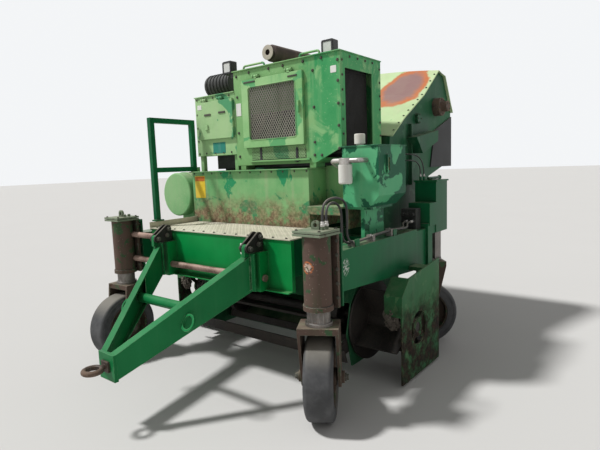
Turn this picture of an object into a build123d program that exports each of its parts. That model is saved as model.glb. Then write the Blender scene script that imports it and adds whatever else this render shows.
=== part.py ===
from build123d import *
import math
import os

# Windrow pickup elevator of an asphalt paving train, standing on four wheeled legs.
# Millimetres. +Z is up, the tow tongue points to -Y, and +X is the machine's left side.
# Everything is laid out from the front leg line (y = 0 here) and the ground (z = 0).
# The last lines move it so that the origin is under the middle of the whole machine.

# Overall places
elevator_half = 830         # centre plane to the outer face of an elevator wall
leg_x = elevator_half + 215     # front leg axes from the centre plane
rear_leg_x = leg_x - 15     # rear leg axes from the centre plane
wheel_base = 1720           # front leg line to rear leg line
ring_reach = 970            # front leg line to the front of the tow ring
curtain_reach = 2690        # front leg line to the back of the discharge curtain
arm_outer_x = leg_x + 67    # centre plane to the outer face of a side arm
side_plate_x = arm_outer_x + 143    # centre plane to the outer face of a boot side plate
seat_gap = 0.3              # pieces of different bodies or nodes that only meet
sheet = 8                   # thickness of sheet metal housings
plate = 12                  # thickness of structural plate

# Wheels, forks and legs
wheel_radius = 275
tyre_width = 175
tyre_corner = 28
rim_radius = 190
rim_wall = 12
rim_inset = 10              # rim edge inside the tyre's side
hub_radius = 55
hub_length = 190
disc_thickness = 14
wheel_bolt_circle = 105
wheel_bolt_radius = 11
axle_radius = 24
pin_clearance = 0.5         # radial running clearance of pins, axles and sliding tubes
caster_trail = 70
crown_width = 250
crown_depth = 190
crown_thickness = 40
crown_height = 600          # underside of a front fork's crown above the ground
rear_crown_height = 700
cheek_thickness = 18
cheek_end_radius = 62
stem_radius = 34
stem_length = 50
leg_tube_radius = 72
leg_stroke = 250            # travel of each leg below where it stands
tube_overlap = 170          # tube left inside its column at full travel
leg_shoe_thickness = 20
column_wall = 14
front_column_bottom = 735
front_column_top = 1190
collar_height = 30
collar_growth = 7
cap_side = 204
cap_thickness = 14
cap_gap = 4
column_fitting_x = 48        # hose fittings on a front column's cap, from its axis
column_fitting_ys = (0, 42)
column_fitting_top = 1242
rear_fitting_xs = (-50, -18)
rear_fitting_y = -108
rear_fitting_top = 1476
rear_column_width = 190
rear_column_depth = 240
rear_column_bottom = 1000
rear_column_top = 1430
rear_tube_side = 124

# Bolted flange between a front column and its arm
flange_width = 190
flange_thickness = 14
flange_gap = 24
flange_bolt_radius = 9
flange_rows = 5

# Side arms
arm_width = 165
arm_bottom = 815
arm_rear_bottom = 745
arm_top = 1070
arm_end_y = 1250
arm_wall = 10
hose_clamp_x = leg_x + 50
hose_clamp_ys = (345, 870)
post_front_y = 1450
post_rear_y = 1535

# Chassis and deck
rail_x = elevator_half - 140    # chassis rail centre line
rail_width = 90
rail_bottom = 860
rail_top = 1120
rail_wall = 10
rail_front_y = 130
rail_rear_y = 870
deck_half = rail_x + 77     # just outside the rails, and inside the elevator's width
deck_front_y = 90
deck_rear_y = 640
deck_thickness = 8
toe_height = 55
front_plate_y = 100
front_plate_half = deck_half - 2
front_plate_bottom = 770
front_plate_lip = 45
cross_shaft_radius = 24
cross_shaft_y = 52
cross_shaft_z = 858
upper_stub_z = 1066

# Tow tongue
bracket_x = 500
bracket_width = 120
bracket_depth = 88
bracket_bottom = 770
bracket_top = 1040
hinge_y = -50
hinge_z = 1072
knuckle_head_y = 50         # upper ends of the knuckle plates, ahead of the deck's front edge
knuckle_head_z = 1140
knuckle_head_radius = 32
knuckle_bolt_y = 30
knuckle_bolt_z = 1092
knuckle_bolt_radius = 10
hinge_pin_radius = 16
knuckle_thickness = 14
knuckle_spread = 17         # inner faces of a hinge's two knuckle plates from its centre
tongue_lug_thickness = 28
tongue_depth = 243
tongue_width = 62
tongue_root_y = -20         # end faces of the beams, ahead of the brackets
tongue_root_top = 1030
tongue_tip_y = 170 - ring_reach     # leaves room for the tow ring and its shank
tongue_tip_top = 490
tongue_tip_depth = 160
tongue_tip_x = 48
tongue_wall = 8
tie_tube_radius = 34
tie_tube_share = 0.42       # place of the cross tube along the tongue, from its root
tie_ring_share = 0.53
tie_ring_lean = 28          # degrees that a ring's top leans back
tie_ring_radius = 57
tie_ring_wall = 15
tie_ring_thickness = 16
tie_ring_offset = 50        # ring centre out from a beam's side
ring_radius = 68
ring_bar_radius = 17
ring_bore = 38
ring_z = 415

# Tanks
tank_left_x = -deck_half - 33
tank_right_x = 545
tank_front_y = 600
tank_rear_y = 1010
tank_top = 1577
tank_lip = 28
recess_right_x = elevator_half + 12
recess_y = 830
shelf_z = 1300
shelf_thickness = 14
fuel_tank_x = -leg_x - 5       # over the right arm
fuel_tank_z = 1372
fuel_tank_radius = 205
fuel_tank_rear_y = 1120
strap_width = 50
strap_thickness = 6
oil_left_x = recess_right_x + 8
oil_right_x = arm_outer_x + 28
oil_front_y = 600
oil_rear_y = 1000
oil_bottom = 1300
oil_top = 1720
oil_bevel = 80
breather_radius = 38
breather_height = 70
filter_radius = 48
filter_height = 133
filter_x = oil_left_x + 75
filter_y = 520
filter_top = 1600

# Engine housing
house_left_x = -304
house_right_x = 784
house_front_y = 700
house_rear_y = 1290
house_bottom = 1622
house_top = 2410
house_bevel_x = 240
house_bevel_z = 105
door_left_x = -190
door_right_x = 455
door_bottom = 1768
door_top = 2322
door_thickness = 26
door_frame = 74
door_lip = 30
door_hinge_lift = 20        # hinge pins above a door's top edge
door_pin_radius = 8
door_knuckle_width = 28
door_ear_width = 12
door_ear_gap = 6
mesh_pitch = 62
mesh_bar = 7
vent_left_x = -122
vent_right_x = 485
vent_bottom = 1660
core_front_y = 762
core_rear_y = 1150
core_bottom = 1720
core_top = 2300
core_inset = 46
core_thickness = 70
cabinet_left_x = -820
cabinet_bottom = 1722
cabinet_top = 2250
cabinet_depth = 330
cabinet_door_left = -768
cabinet_door_bottom = 1870
cabinet_door_top = 2200
cabinet_door_thickness = 22
engine_left_x = -700
engine_right_x = 500
engine_front_y = 830
engine_rear_y = 1240
engine_bottom = 1600
engine_top = 2060
lamp_side = 108
lamp_depth = 66
lamp_lift = 6
muffler_radius = 70
muffler_x = -30
muffler_lift = 146          # the silencer's axis above the roof sheet's underside
muffler_z = house_top + muffler_lift
muffler_front_y = 880
muffler_rear_y = 1520
cleaner_radius = 102
cleaner_x = -700
cleaner_z = 2384
cleaner_rib = 7

# Handrail
handrail_x = tank_left_x
handrail_bar = 42
handrail_front_y = 190
handrail_rear_y = 622
handrail_top = 2050
handrail_middle = 1610

# Elevator
elevator_wall = 12
tail_y = 966
tail_z = 378
head_y = curtain_reach - 400
head_z = 2120
sprocket_radius = 150
chain_thickness = 22
chain_width = 56
chain_x = elevator_half - 230
slat_half = elevator_half - 120
slat_height = 62
slat_thickness = 22
slat_count = 24
shaft_radius = 38
drum_radius = 318
drum_thickness = 14
paddle_count = 4
hood_thickness = 8
hood_crowns = (60, 60, 60, 60, 42, 18, 4)
hood_overhang = 26
curtain_thickness = 14
curtain_bottom = 1548
curtain_top = 2090

# Boot side plates and intake blade
boot_front_y = 695
boot_rear_y = 1343
boot_bottom = 20
boot_top = 780
boot_return = 130
hub_hole_radius = 125
hanger_y = 1100
hanger_z = 770
blade_y = 560
blade_bottom = 150
blade_top = 250
blade_half = elevator_half + 40
pan_clearance = 16
wall_margin = 14            # side walls past the pan
pan_run = 1560             # length of the pan up the run from the tail shaft

column_radius = leg_tube_radius + pin_clearance + column_wall
frame_shift = (ring_reach - curtain_reach) / 2
parts = {}


def block(x0, x1, y0, y1, z0, z1):
    """A box between two corners."""
    return Pos((x0 + x1) / 2, (y0 + y1) / 2, (z0 + z1) / 2) * Box(x1 - x0, y1 - y0, z1 - z0)


def rod(start, end, radius):
    """A round bar between two points."""
    start = Vector(start)
    end = Vector(end)
    upright = (Align.CENTER, Align.CENTER, Align.MIN)
    return Plane(origin=start, z_dir=end - start) * Cylinder(radius, (end - start).length, align=upright)


def pipe(start, end, radius, bore):
    """A round tube between two points, open at both ends."""
    return rod(start, end, radius) - rod(start, end, bore)


def bent_rod(points, bend, radius):
    """A round bar along straight runs with rounded bends between them."""
    path = FilletPolyline(*points, radius=bend)
    start = Vector(points[0])
    return sweep(Plane(origin=start, z_dir=Vector(points[1]) - start) * Circle(radius), path)


def slab(outline, x0, x1):
    """A plate standing along the machine: an outline of (y, z) points, thick from x0 to x1."""
    face = Face(Wire.make_polygon([(x0, y, z) for y, z in outline]))
    return Solid.extrude(face, Vector(x1 - x0, 0, 0))


def facing(outline, y0, y1):
    """A plate standing across the machine: an outline of (x, z) points, thick from y0 to y1."""
    face = Face(Wire.make_polygon([(x, y0, z) for x, z in outline]))
    return Solid.extrude(face, Vector(0, y1 - y0, 0))


def flat(outline, z0, z1):
    """A level plate: an outline of (x, y) points, thick from z0 to z1."""
    face = Face(Wire.make_polygon([(x, y, z0) for x, y in outline]))
    return Solid.extrude(face, Vector(0, 0, z1 - z0))


def box_tube(x0, x1, y0, y1, z0, z1, wall):
    """A square tube along y, open at both ends."""
    return block(x0, x1, y0, y1, z0, z1) - block(x0 + wall, x1 - wall, y0 - 1, y1 + 1, z0 + wall, z1 - wall)


def joined(pieces):
    """Pieces that touch, made one solid."""
    whole = pieces[0]
    for piece in pieces[1:]:
        whole = whole + piece
    return whole


def mirrored(shape):
    return shape.mirror(Plane.YZ)


# Wheels, forks and legs. One leg is made at x = 0, y = 0 with its wheel ahead, then turned and placed.
def tyre():
    """Solid rubber tyre: a ring with rounded shoulders and a shallow hollow along each side."""
    section = Pos((wheel_radius + rim_radius) / 2, 0) * Rectangle(wheel_radius - rim_radius, tyre_width)
    section = fillet(section.vertices().sort_by(Axis.X)[-2:], tyre_corner)
    ring = revolve(Plane.XY * section, Axis.Y)
    return Rot(0, 0, 90) * ring


def rim():
    """Steel rim: band, disc with stud holes, and a bored hub, all about the x axis."""
    half = tyre_width / 2 - rim_inset
    band = rod((-half, 0, 0), (half, 0, 0), rim_radius - seat_gap)
    band -= rod((-half - 1, 0, 0), (half + 1, 0, 0), rim_radius - rim_wall)
    disc = rod((-disc_thickness / 2, 0, 0), (disc_thickness / 2, 0, 0), rim_radius - rim_wall / 2)
    hub = rod((-hub_length / 2, 0, 0), (hub_length / 2, 0, 0), hub_radius)
    whole = band + disc + hub
    whole -= rod((-hub_length, 0, 0), (hub_length, 0, 0), axle_radius + pin_clearance)
    for i in range(5):
        turn = math.radians(72 * i)
        y = wheel_bolt_circle * math.cos(turn)
        z = wheel_bolt_circle * math.sin(turn)
        whole -= rod((-disc_thickness, y, z), (disc_thickness, y, z), wheel_bolt_radius)
    return whole


def fork(low):
    """Wheel fork: crown plate and stem, two cheeks that rake forward to the axle, and the axle."""
    crown_top = low + crown_thickness
    half = crown_width / 2
    crown = block(-half, half, -crown_depth / 2, crown_depth / 2, low, crown_top)
    stem = rod((0, 0, crown_top - 1), (0, 0, crown_top + stem_length), stem_radius)
    # Each cheek is the hull of the crown's end and the round boss about the axle.
    top = Pos(0, (low + crown_top) / 2) * Rectangle(crown_depth, crown_thickness)
    boss = Pos(-caster_trail, wheel_radius) * Circle(cheek_end_radius)
    cheek_face = make_hull([*top.edges(), *boss.edges()])
    pieces = [crown, stem]
    for x in (-half, half - cheek_thickness):
        pieces.append(Pos(x, 0, 0) * extrude(Plane.YZ * cheek_face, cheek_thickness))
    reach = half + 26
    y = -caster_trail
    pieces.append(rod((-reach, y, wheel_radius), (reach, y, wheel_radius), axle_radius))
    for x in (-reach + 6, half):
        pieces.append(rod((x, y, wheel_radius), (x + 20, y, wheel_radius), axle_radius + 14))
    return joined(pieces)


def leg_tube(square, crown_low, column_low):
    """Sliding leg tube that stands on the fork crown and carries the fork's stem in a bore."""
    foot = crown_low + crown_thickness + seat_gap
    top = column_low + leg_stroke + tube_overlap
    if square:
        half = rear_tube_side / 2
        bar = block(-half, half, -half, half, foot, top)
    else:
        bar = rod((0, 0, foot), (0, 0, top), leg_tube_radius)
    shoe = rod((0, 0, foot), (0, 0, foot + leg_shoe_thickness), leg_tube_radius + 12)
    return bar + shoe - rod((0, 0, foot - 1), (0, 0, foot + stem_length + 10), stem_radius + pin_clearance)


def front_column():
    """Round outer column with a collar, capped by two plates with a lifting eye, and its bolting flange."""
    bore = leg_tube_radius + pin_clearance
    body = pipe((0, 0, front_column_bottom), (0, 0, front_column_top), column_radius, bore)
    collar = pipe((0, 0, front_column_bottom), (0, 0, front_column_bottom + collar_height),
                  column_radius + collar_growth, bore)
    half = cap_side / 2
    low = front_column_top
    cap = block(-half, half, -half, half, low, low + cap_thickness)
    neck = rod((0, 0, low), (0, 0, low + cap_thickness + cap_gap + 1), column_radius - 10)
    top = low + cap_thickness + cap_gap
    lid = block(-half, half, -half, half, top, top + cap_thickness)
    eye_z = top + cap_thickness + 26
    eye = rod((0, -8, eye_z), (0, 8, eye_z), 30) + block(-30, 30, -8, 8, top + cap_thickness - 1, eye_z)
    eye -= rod((0, -9, eye_z), (0, 9, eye_z), 14)
    inner = column_radius - 6
    outer = column_radius + flange_thickness
    height = front_column_top - front_column_bottom
    flange = block(-flange_width / 2, flange_width / 2, inner, outer, front_column_bottom, front_column_top)
    flange -= rod((0, 0, front_column_bottom), (0, 0, front_column_top), bore)
    pieces = [body, collar, cap, neck, lid, eye, flange]
    for y in column_fitting_ys:
        pieces.append(rod((column_fitting_x, y, top), (column_fitting_x, y, column_fitting_top), 12))
    for row in range(flange_rows):
        z = front_column_bottom + height * (row + 0.5) / flange_rows
        for x in (-flange_width / 2 + 22, flange_width / 2 - 22):
            pieces.append(rod((x, outer - 1, z), (x, outer + flange_gap, z), flange_bolt_radius))
    return joined(pieces)


def rear_column():
    """Square outer column with a cap plate and a height rod that ends in a knob."""
    half_x = rear_column_width / 2
    half_y = rear_column_depth / 2
    bore = rear_tube_side / 2 + pin_clearance
    body = block(-half_x, half_x, -half_y, half_y, rear_column_bottom, rear_column_top)
    body -= block(-bore, bore, -bore, bore, rear_column_bottom - 1, rear_column_top + 1)
    cap = block(-half_x - 10, half_x + 10, -half_y - 10, half_y + 10,
                rear_column_top, rear_column_top + cap_thickness)
    crank_z = rear_column_top + cap_thickness + 14
    stand = block(-20, 20, -20, 20, rear_column_top, crank_z)
    crank = rod((0, -60, crank_z), (0, half_y + 60, crank_z), 12)
    knob = Pos(0, half_y + 60, crank_z) * Sphere(20)
    pieces = [body, cap, stand, crank, knob]
    for x in rear_fitting_xs:
        pieces.append(rod((x, rear_fitting_y, rear_column_top), (x, rear_fitting_y, rear_fitting_top), 10))
    return joined(pieces)


legs = (
    # name, x, y, way the wheel lies from straight ahead (degrees), crown height, column foot, square column
    ("front_right", -leg_x, 0, 5, crown_height, front_column_bottom, False),
    ("front_left", leg_x, 0, 210, crown_height, front_column_bottom, False),
    ("rear_right", -rear_leg_x, wheel_base, -20, rear_crown_height, rear_column_bottom, True),
    ("rear_left", rear_leg_x, wheel_base, -51, rear_crown_height, rear_column_bottom, True),
)
leg_tyre = tyre()
leg_rim = rim()
for name, x, leg_y, heading, crown_low, column_low, square in legs:
    foot = Pos(x, leg_y, 0)
    turned = foot * Rot(0, 0, heading)
    wheel_place = turned * Pos(0, -caster_trail, wheel_radius)
    parts["fork_" + name] = turned * fork(crown_low)
    parts["tyre_" + name] = wheel_place * leg_tyre
    parts["wheel_" + name] = wheel_place * leg_rim
    parts["leg_tube_" + name] = foot * leg_tube(square, crown_low, column_low)
    if not square:
        parts["leg_column_" + name] = foot * front_column()


# Side arms. Each is a box beam from the front column's flange to a post on the rear column.
def arm():
    inner_x = arm_outer_x - arm_width
    start_y = column_radius + flange_thickness + flange_gap + seat_gap
    side = [(start_y, arm_bottom), (arm_end_y, arm_rear_bottom), (arm_end_y, arm_top), (start_y, arm_top)]
    hole = [(start_y + flange_thickness, arm_bottom + arm_wall), (arm_end_y + 1, arm_rear_bottom + arm_wall),
            (arm_end_y + 1, arm_top - arm_wall), (start_y + flange_thickness, arm_top - arm_wall)]
    beam = slab(side, inner_x, arm_outer_x) - slab(hole, inner_x + arm_wall, arm_outer_x - arm_wall)
    flange = block(leg_x - flange_width / 2, leg_x + flange_width / 2, start_y, start_y + flange_thickness,
                   front_column_bottom, front_column_top)
    link = block(inner_x + 12, arm_outer_x - 16, arm_end_y - 1, post_front_y + 1,
                 arm_rear_bottom, arm_top - 20)
    column_front = wheel_base - rear_column_depth / 2
    post = block(inner_x - 10, arm_outer_x + 6, post_front_y, post_rear_y,
                 arm_rear_bottom - 40, arm_top + 20)
    saddle = block(rear_leg_x - rear_column_width / 2, rear_leg_x + rear_column_width / 2,
                   post_front_y + 20, column_front + 1, arm_top, rear_column_bottom + 260)
    tie = block(inner_x - 10, arm_outer_x + 6, post_rear_y - 1, column_front + 1,
                rear_column_bottom, arm_top + 1)
    wall_side = elevator_half + seat_gap
    outrigger = block(wall_side, inner_x + 1, arm_end_y - 160, arm_end_y - 40, rail_bottom, arm_top - 20)
    column = Pos(rear_leg_x, wheel_base, 0) * rear_column()
    pieces = [beam, flange, link, post, saddle, tie, outrigger, column]
    for y in hose_clamp_ys:
        pieces.append(block(hose_clamp_x, hose_clamp_x + 10, y, y + 50, arm_top - 1, arm_top + 46))
    return joined(pieces)


parts["arm_left"] = arm()
parts["arm_right"] = mirrored(arm())


# Chassis: two box rails and the cross members between them.
def chassis():
    pieces = []
    inner = rail_x - rail_width / 2
    outer = rail_x + rail_width / 2
    for side in (-1, 1):
        x0, x1 = sorted((side * inner, side * outer))
        pieces.append(box_tube(x0, x1, rail_front_y, rail_rear_y, rail_bottom, rail_top, rail_wall))
    for y in (rail_front_y, rail_rear_y - 2 * rail_width):
        pieces.append(block(-inner - 1, inner + 1, y, y + rail_width, rail_bottom + 40, rail_top))
    # The rear cross member reaches both arms.
    reach = arm_outer_x - arm_width - seat_gap
    pieces.append(block(-reach, reach, rail_rear_y - rail_width, rail_rear_y,
                        rail_bottom + 40, rail_top - 60))
    return pieces


parts["main_frame"] = joined(chassis())


def bracket(side):
    """Tongue bracket: a post on the front plate with a bore for the cross shaft."""
    x = side * bracket_x
    half = bracket_width / 2
    reach = half + 1
    post = block(x - half, x + half, front_plate_y - bracket_depth, front_plate_y + 1,
                 bracket_bottom, bracket_top)
    return post - rod((x - reach, cross_shaft_y, cross_shaft_z), (x + reach, cross_shaft_y, cross_shaft_z),
                      cross_shaft_radius)


def hinge_knuckle(side):
    """Two plates on a bracket's top, the pin that the tongue hangs on, and two bolts behind it."""
    x = side * bracket_x
    root = Pos(front_plate_y - bracket_depth / 2 - 7, bracket_top + seat_gap + 10) * Rectangle(70, 20)
    head = Pos(knuckle_head_y, knuckle_head_z) * Circle(knuckle_head_radius)
    nose = Pos(hinge_y, hinge_z) * Circle(hinge_pin_radius + 14)
    ear_face = make_hull([*root.edges(), *head.edges(), *nose.edges()])
    reach = knuckle_spread + knuckle_thickness + 12
    pieces = [rod((x - reach, hinge_y, hinge_z), (x + reach, hinge_y, hinge_z), hinge_pin_radius)]
    for y, z in ((knuckle_bolt_y, knuckle_bolt_z), (knuckle_head_y, knuckle_head_z)):
        pieces.append(rod((x - reach, y, z), (x + reach, y, z), knuckle_bolt_radius))
    for edge in (-knuckle_spread - knuckle_thickness, knuckle_spread):
        pieces.append(Pos(x + edge, 0, 0) * extrude(Plane.YZ * ear_face, knuckle_thickness))
    return joined(pieces)


parts["hinge_knuckles"] = Compound(children=[hinge_knuckle(-1), hinge_knuckle(1)])
shaft_end = leg_x - math.sqrt(column_radius ** 2 - (cross_shaft_y - cross_shaft_radius) ** 2) - seat_gap
shaft_right = bracket_x + bracket_width / 2 + 14
stub_start = bracket_x + knuckle_spread + knuckle_thickness + seat_gap
# One shaft runs from the right leg's column through both brackets, with a stub above it.
parts["cross_shafts"] = Compound(children=[
    rod((-shaft_end, cross_shaft_y, cross_shaft_z), (shaft_right, cross_shaft_y, cross_shaft_z),
        cross_shaft_radius - seat_gap),
    rod((-shaft_end, cross_shaft_y, upper_stub_z), (-stub_start, cross_shaft_y, upper_stub_z),
        cross_shaft_radius),
])

# Front plate: a wide apron with a lip along its foot and a flange down each end.
apron = block(-front_plate_half, front_plate_half, front_plate_y, front_plate_y + sheet,
              front_plate_bottom, rail_top)
lip = block(-front_plate_half, front_plate_half, front_plate_y - front_plate_lip, front_plate_y + 1,
            front_plate_bottom, front_plate_bottom + sheet)
parts["front_plate"] = joined([
    apron, lip, bracket(-1), bracket(1),
    block(-front_plate_half, -front_plate_half + sheet, front_plate_y, rail_front_y - seat_gap,
          front_plate_bottom, rail_top),
    block(front_plate_half - sheet, front_plate_half, front_plate_y, rail_front_y - seat_gap,
          front_plate_bottom, rail_top),
])

# Deck: chequered floor with a turned-down front edge and a toe board along the walkway's side.
deck_z = rail_top + seat_gap
deck_pieces = [block(-deck_half, deck_half, deck_front_y, deck_rear_y, deck_z, deck_z + deck_thickness)]
toe = block(-deck_half - sheet, -deck_half + 1, deck_front_y, tank_front_y, deck_z - 10, deck_z + toe_height)
parts["deck"] = joined(deck_pieces + [toe])

# Front tank: a long box with a turned flange along its top edge.
tank_low = deck_z + deck_thickness + seat_gap
tank_shell = block(tank_left_x, tank_right_x, tank_front_y, tank_rear_y, tank_low, tank_top)
tank_cap = block(tank_left_x - 8, tank_right_x + 8, tank_front_y - tank_lip, tank_rear_y,
                 tank_top, tank_top + sheet)

# Filler bay beside the tank: a back wall, a shelf and a side cheek.
bay_left = tank_right_x - 1
parts["front_tank"] = joined([
    tank_shell, tank_cap,
    block(bay_left, recess_right_x, recess_y, recess_y + sheet, shelf_z, tank_top + 20),
    block(bay_left, recess_right_x, tank_front_y - 30, recess_y + 1, shelf_z - shelf_thickness, shelf_z),
    block(bay_left, recess_right_x, tank_front_y - 30, tank_front_y - 30 + sheet, shelf_z - 60, shelf_z),
    block(bay_left, bay_left + sheet, recess_y - 150, tank_rear_y, tank_low, shelf_z),
    block(recess_right_x - sheet, recess_right_x, recess_y - 150, tank_rear_y, tank_low, shelf_z),
])

# Cylindrical fuel tank on a cradle beside the front tank.
fuel_front = tank_front_y
fuel = rod((fuel_tank_x, fuel_front, fuel_tank_z), (fuel_tank_x, fuel_tank_rear_y, fuel_tank_z),
           fuel_tank_radius)
fuel = fillet(fuel.edges().filter_by(GeomType.CIRCLE), 14)
cradle_places = (fuel_front + 90, fuel_tank_rear_y - 140)
straps = []
for y in cradle_places:
    straps.append(pipe((fuel_tank_x, y, fuel_tank_z), (fuel_tank_x, y + strap_width, fuel_tank_z),
                       fuel_tank_radius + strap_thickness, fuel_tank_radius - 1))
filler_y = fuel_front + 250
filler = rod((fuel_tank_x, filler_y, fuel_tank_z + fuel_tank_radius - 20),
             (fuel_tank_x, filler_y, fuel_tank_z + fuel_tank_radius + 50), 42)
cradles = []
for y in cradle_places:
    cradle = block(fuel_tank_x - 40, fuel_tank_x + 130, y, y + strap_width, arm_top + seat_gap, fuel_tank_z)
    seat = rod((fuel_tank_x, y - 1, fuel_tank_z), (fuel_tank_x, y + strap_width + 1, fuel_tank_z),
               fuel_tank_radius)
    cradles.append(cradle - seat)
parts["fuel_tank"] = joined([fuel] + straps + cradles + [filler])

# Oil tank: a box bevelled along its foot, with a sight glass frame.
oil = block(oil_left_x, oil_right_x, oil_front_y, oil_rear_y, oil_bottom, oil_top)
foot_edges = oil.edges().filter_by(Axis.Y).group_by(Axis.Z)[0].sort_by(Axis.X)
oil = chamfer(foot_edges[-1], oil_bevel)
rim_cap = block(oil_left_x - 6, oil_right_x + 6, oil_front_y - 6, oil_rear_y + 6, oil_top, oil_top + sheet)
gauge_y = oil_front_y + 125
gauge = block(oil_right_x - 1, oil_right_x + 14, gauge_y - 22, gauge_y + 22, oil_top - 190, oil_top - 60)
gauge -= block(oil_right_x + 4, oil_right_x + 15, gauge_y - 9, gauge_y + 9, oil_top - 170, oil_top - 80)
parts["oil_tank"] = joined([
    oil, rim_cap, gauge,
    block(recess_right_x + seat_gap, oil_right_x - oil_bevel - 10, oil_front_y + 40, oil_rear_y - 40,
          oil_bottom - 20, oil_bottom + 1),
    block(arm_outer_x - arm_width + 10, arm_outer_x - arm_width + 40, oil_front_y + 60, oil_rear_y - 60,
          arm_top + seat_gap, oil_bottom - 19),
])
cap_y = oil_front_y + 60
cap_x = oil_left_x + 110
cap_z = oil_top + sheet + seat_gap
breather = rod((cap_x, cap_y, cap_z), (cap_x, cap_y, cap_z + 16), breather_radius - 12)
breather_top = rod((cap_x, cap_y, cap_z + 12), (cap_x, cap_y, cap_z + 12 + breather_height), breather_radius)
breather_top = fillet(breather_top.edges().group_by(Axis.Z)[-1], 8)
parts["breather_cap"] = breather + breather_top

# Spin-on filter under its head, on pipes between the engine bay and the tank.
can = rod((filter_x, filter_y, filter_top - filter_height), (filter_x, filter_y, filter_top), filter_radius)
can = fillet(can.edges().group_by(Axis.Z)[0], 12)
parts["oil_filter"] = can
head_low = filter_top + seat_gap
filter_head = rod((filter_x, filter_y, head_low), (filter_x, filter_y, head_low + 44), filter_radius - 6)
pipe_z = head_low + 26
drop_z = pipe_z - 70
pipe_bend = 34
pipe_radius = 17
out_x = filter_x + 120
back_x = filter_x - 130
out_pipe = bent_rod([(filter_x, filter_y, pipe_z), (out_x, filter_y, pipe_z),
                     (out_x, oil_front_y - seat_gap, pipe_z)], pipe_bend, pipe_radius)
back_pipe = bent_rod([(filter_x, filter_y, pipe_z), (back_x, filter_y + 30, pipe_z),
                      (back_x, filter_y + 170, drop_z), (back_x, recess_y - seat_gap, drop_z)],
                     pipe_bend, pipe_radius)
parts["filter_head"] = joined([filter_head, out_pipe, back_pipe])


def hinge_shape(y, z, radius, foot_y, foot_z, x0, x1):
    """A hinge leaf: the hull of a boss about the pin and its foot, thick from x0 to x1."""
    boss = Pos(y, z) * Circle(radius)
    foot_face = Pos(foot_y, foot_z) * Rectangle(4, 4)
    leaf = make_hull([*boss.edges(), *foot_face.edges()])
    return Pos(x0, 0, 0) * extrude(Plane.YZ * leaf, x1 - x0)


def door_ears(places, front, top, wall_y):
    """The fixed ears of a top hung door, two beside each hinge place, bored for its pins."""
    ears = []
    y = front + door_pin_radius
    z = top + door_hinge_lift
    reach = door_knuckle_width / 2 + door_ear_gap
    bore = door_pin_radius + pin_clearance
    for place in places:
        for x0 in (place - reach - door_ear_width, place + reach):
            ear = hinge_shape(y, z, door_pin_radius + 5, wall_y - 1, z, x0, x0 + door_ear_width)
            ears.append(ear - rod((x0 - 1, y, z), (x0 + door_ear_width + 1, y, z), bore))
    return ears


def door_hinge(places, front, top):
    """The swinging half of a top hung door's hinges: a knuckle on its upper edge and the pin through it."""
    leaves = []
    y = front + door_pin_radius
    z = top + door_hinge_lift
    half = door_knuckle_width / 2
    reach = half + door_ear_gap + door_ear_width + 3
    for place in places:
        leaves.append(hinge_shape(y, z, door_pin_radius + 4, y, top - 4, place - half, place + half))
        leaves.append(rod((place - reach, y, z), (place + reach, y, z), door_pin_radius))
    return leaves


door_hinges = (-30, 320)
cabinet_hinges = (-686, -473)


# Engine housing: a hollow case of sheet with openings for the grille door, the radiator and the engine.
def housing():
    outline = [
        (house_left_x, house_bottom),
        (house_right_x - house_bevel_x, house_bottom),
        (house_right_x, house_bottom + house_bevel_z),
        (house_right_x, house_top),
        (house_left_x, house_top),
    ]
    inside = [
        (house_left_x + sheet, house_bottom - 1),
        (house_right_x - house_bevel_x - 6, house_bottom - 1),
        (house_right_x - sheet, house_bottom + house_bevel_z - 6),
        (house_right_x - sheet, house_top - sheet),
        (house_left_x + sheet, house_top - sheet),
    ]
    case = facing(outline, house_front_y, house_rear_y)
    case -= facing(inside, house_front_y + sheet, house_rear_y - sheet)
    case -= block(door_left_x + door_lip, door_right_x - door_lip,
                  house_front_y - 1, house_front_y + sheet + 1,
                  door_bottom + door_lip, door_top - door_lip)
    case -= block(vent_left_x, vent_right_x - 30, house_front_y - 1, house_front_y + sheet + 1,
                  vent_bottom, door_bottom - 30)
    case -= block(house_right_x - sheet - 1, house_right_x + 1, core_front_y, core_rear_y,
                  core_bottom, core_top)
    case -= block(house_left_x - 1, house_left_x + sheet + 1, house_front_y + 90, house_rear_y - 40,
                  house_bottom - 1, engine_top + 12)
    brow = block(house_left_x - 6, house_right_x + 6, house_front_y - 14, house_rear_y + 4,
                 house_top, house_top + sheet)
    sill = block(vent_left_x - 12, vent_right_x + 12, house_front_y - 16, house_front_y + 1,
                 vent_bottom - 14, vent_bottom)
    feet = []
    base = tank_top + sheet + seat_gap
    for x in (house_left_x + 40, house_right_x - house_bevel_x - 60):
        feet.append(block(x, x + 60, house_front_y + 2, engine_front_y - 12, base, house_bottom + 1))
    floor = block(house_left_x, house_right_x - house_bevel_x, house_front_y, house_front_y + 60,
                  house_bottom, house_bottom + sheet)
    ears = door_ears(door_hinges, house_front_y - seat_gap - door_thickness, door_top, house_front_y)
    return joined([case, brow, sill, floor] + feet + ears)


parts["radiator_housing"] = housing()


# Grab rods along the roof's front edge, each one bar bent down at both ends.
roof_z = house_top + sheet + seat_gap
grab_y = house_front_y + 100
grab_z = roof_z + 52
grabs = []
for x0, x1 in ((house_left_x + 30, house_left_x + 270), (house_right_x - 440, house_right_x - 250)):
    corners = [(x0, grab_y, roof_z), (x0, grab_y, grab_z), (x1, grab_y, grab_z), (x1, grab_y, roof_z)]
    grabs.append(bent_rod(corners, 22, 9))
parts["grab_rods"] = Compound(children=grabs)


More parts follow.
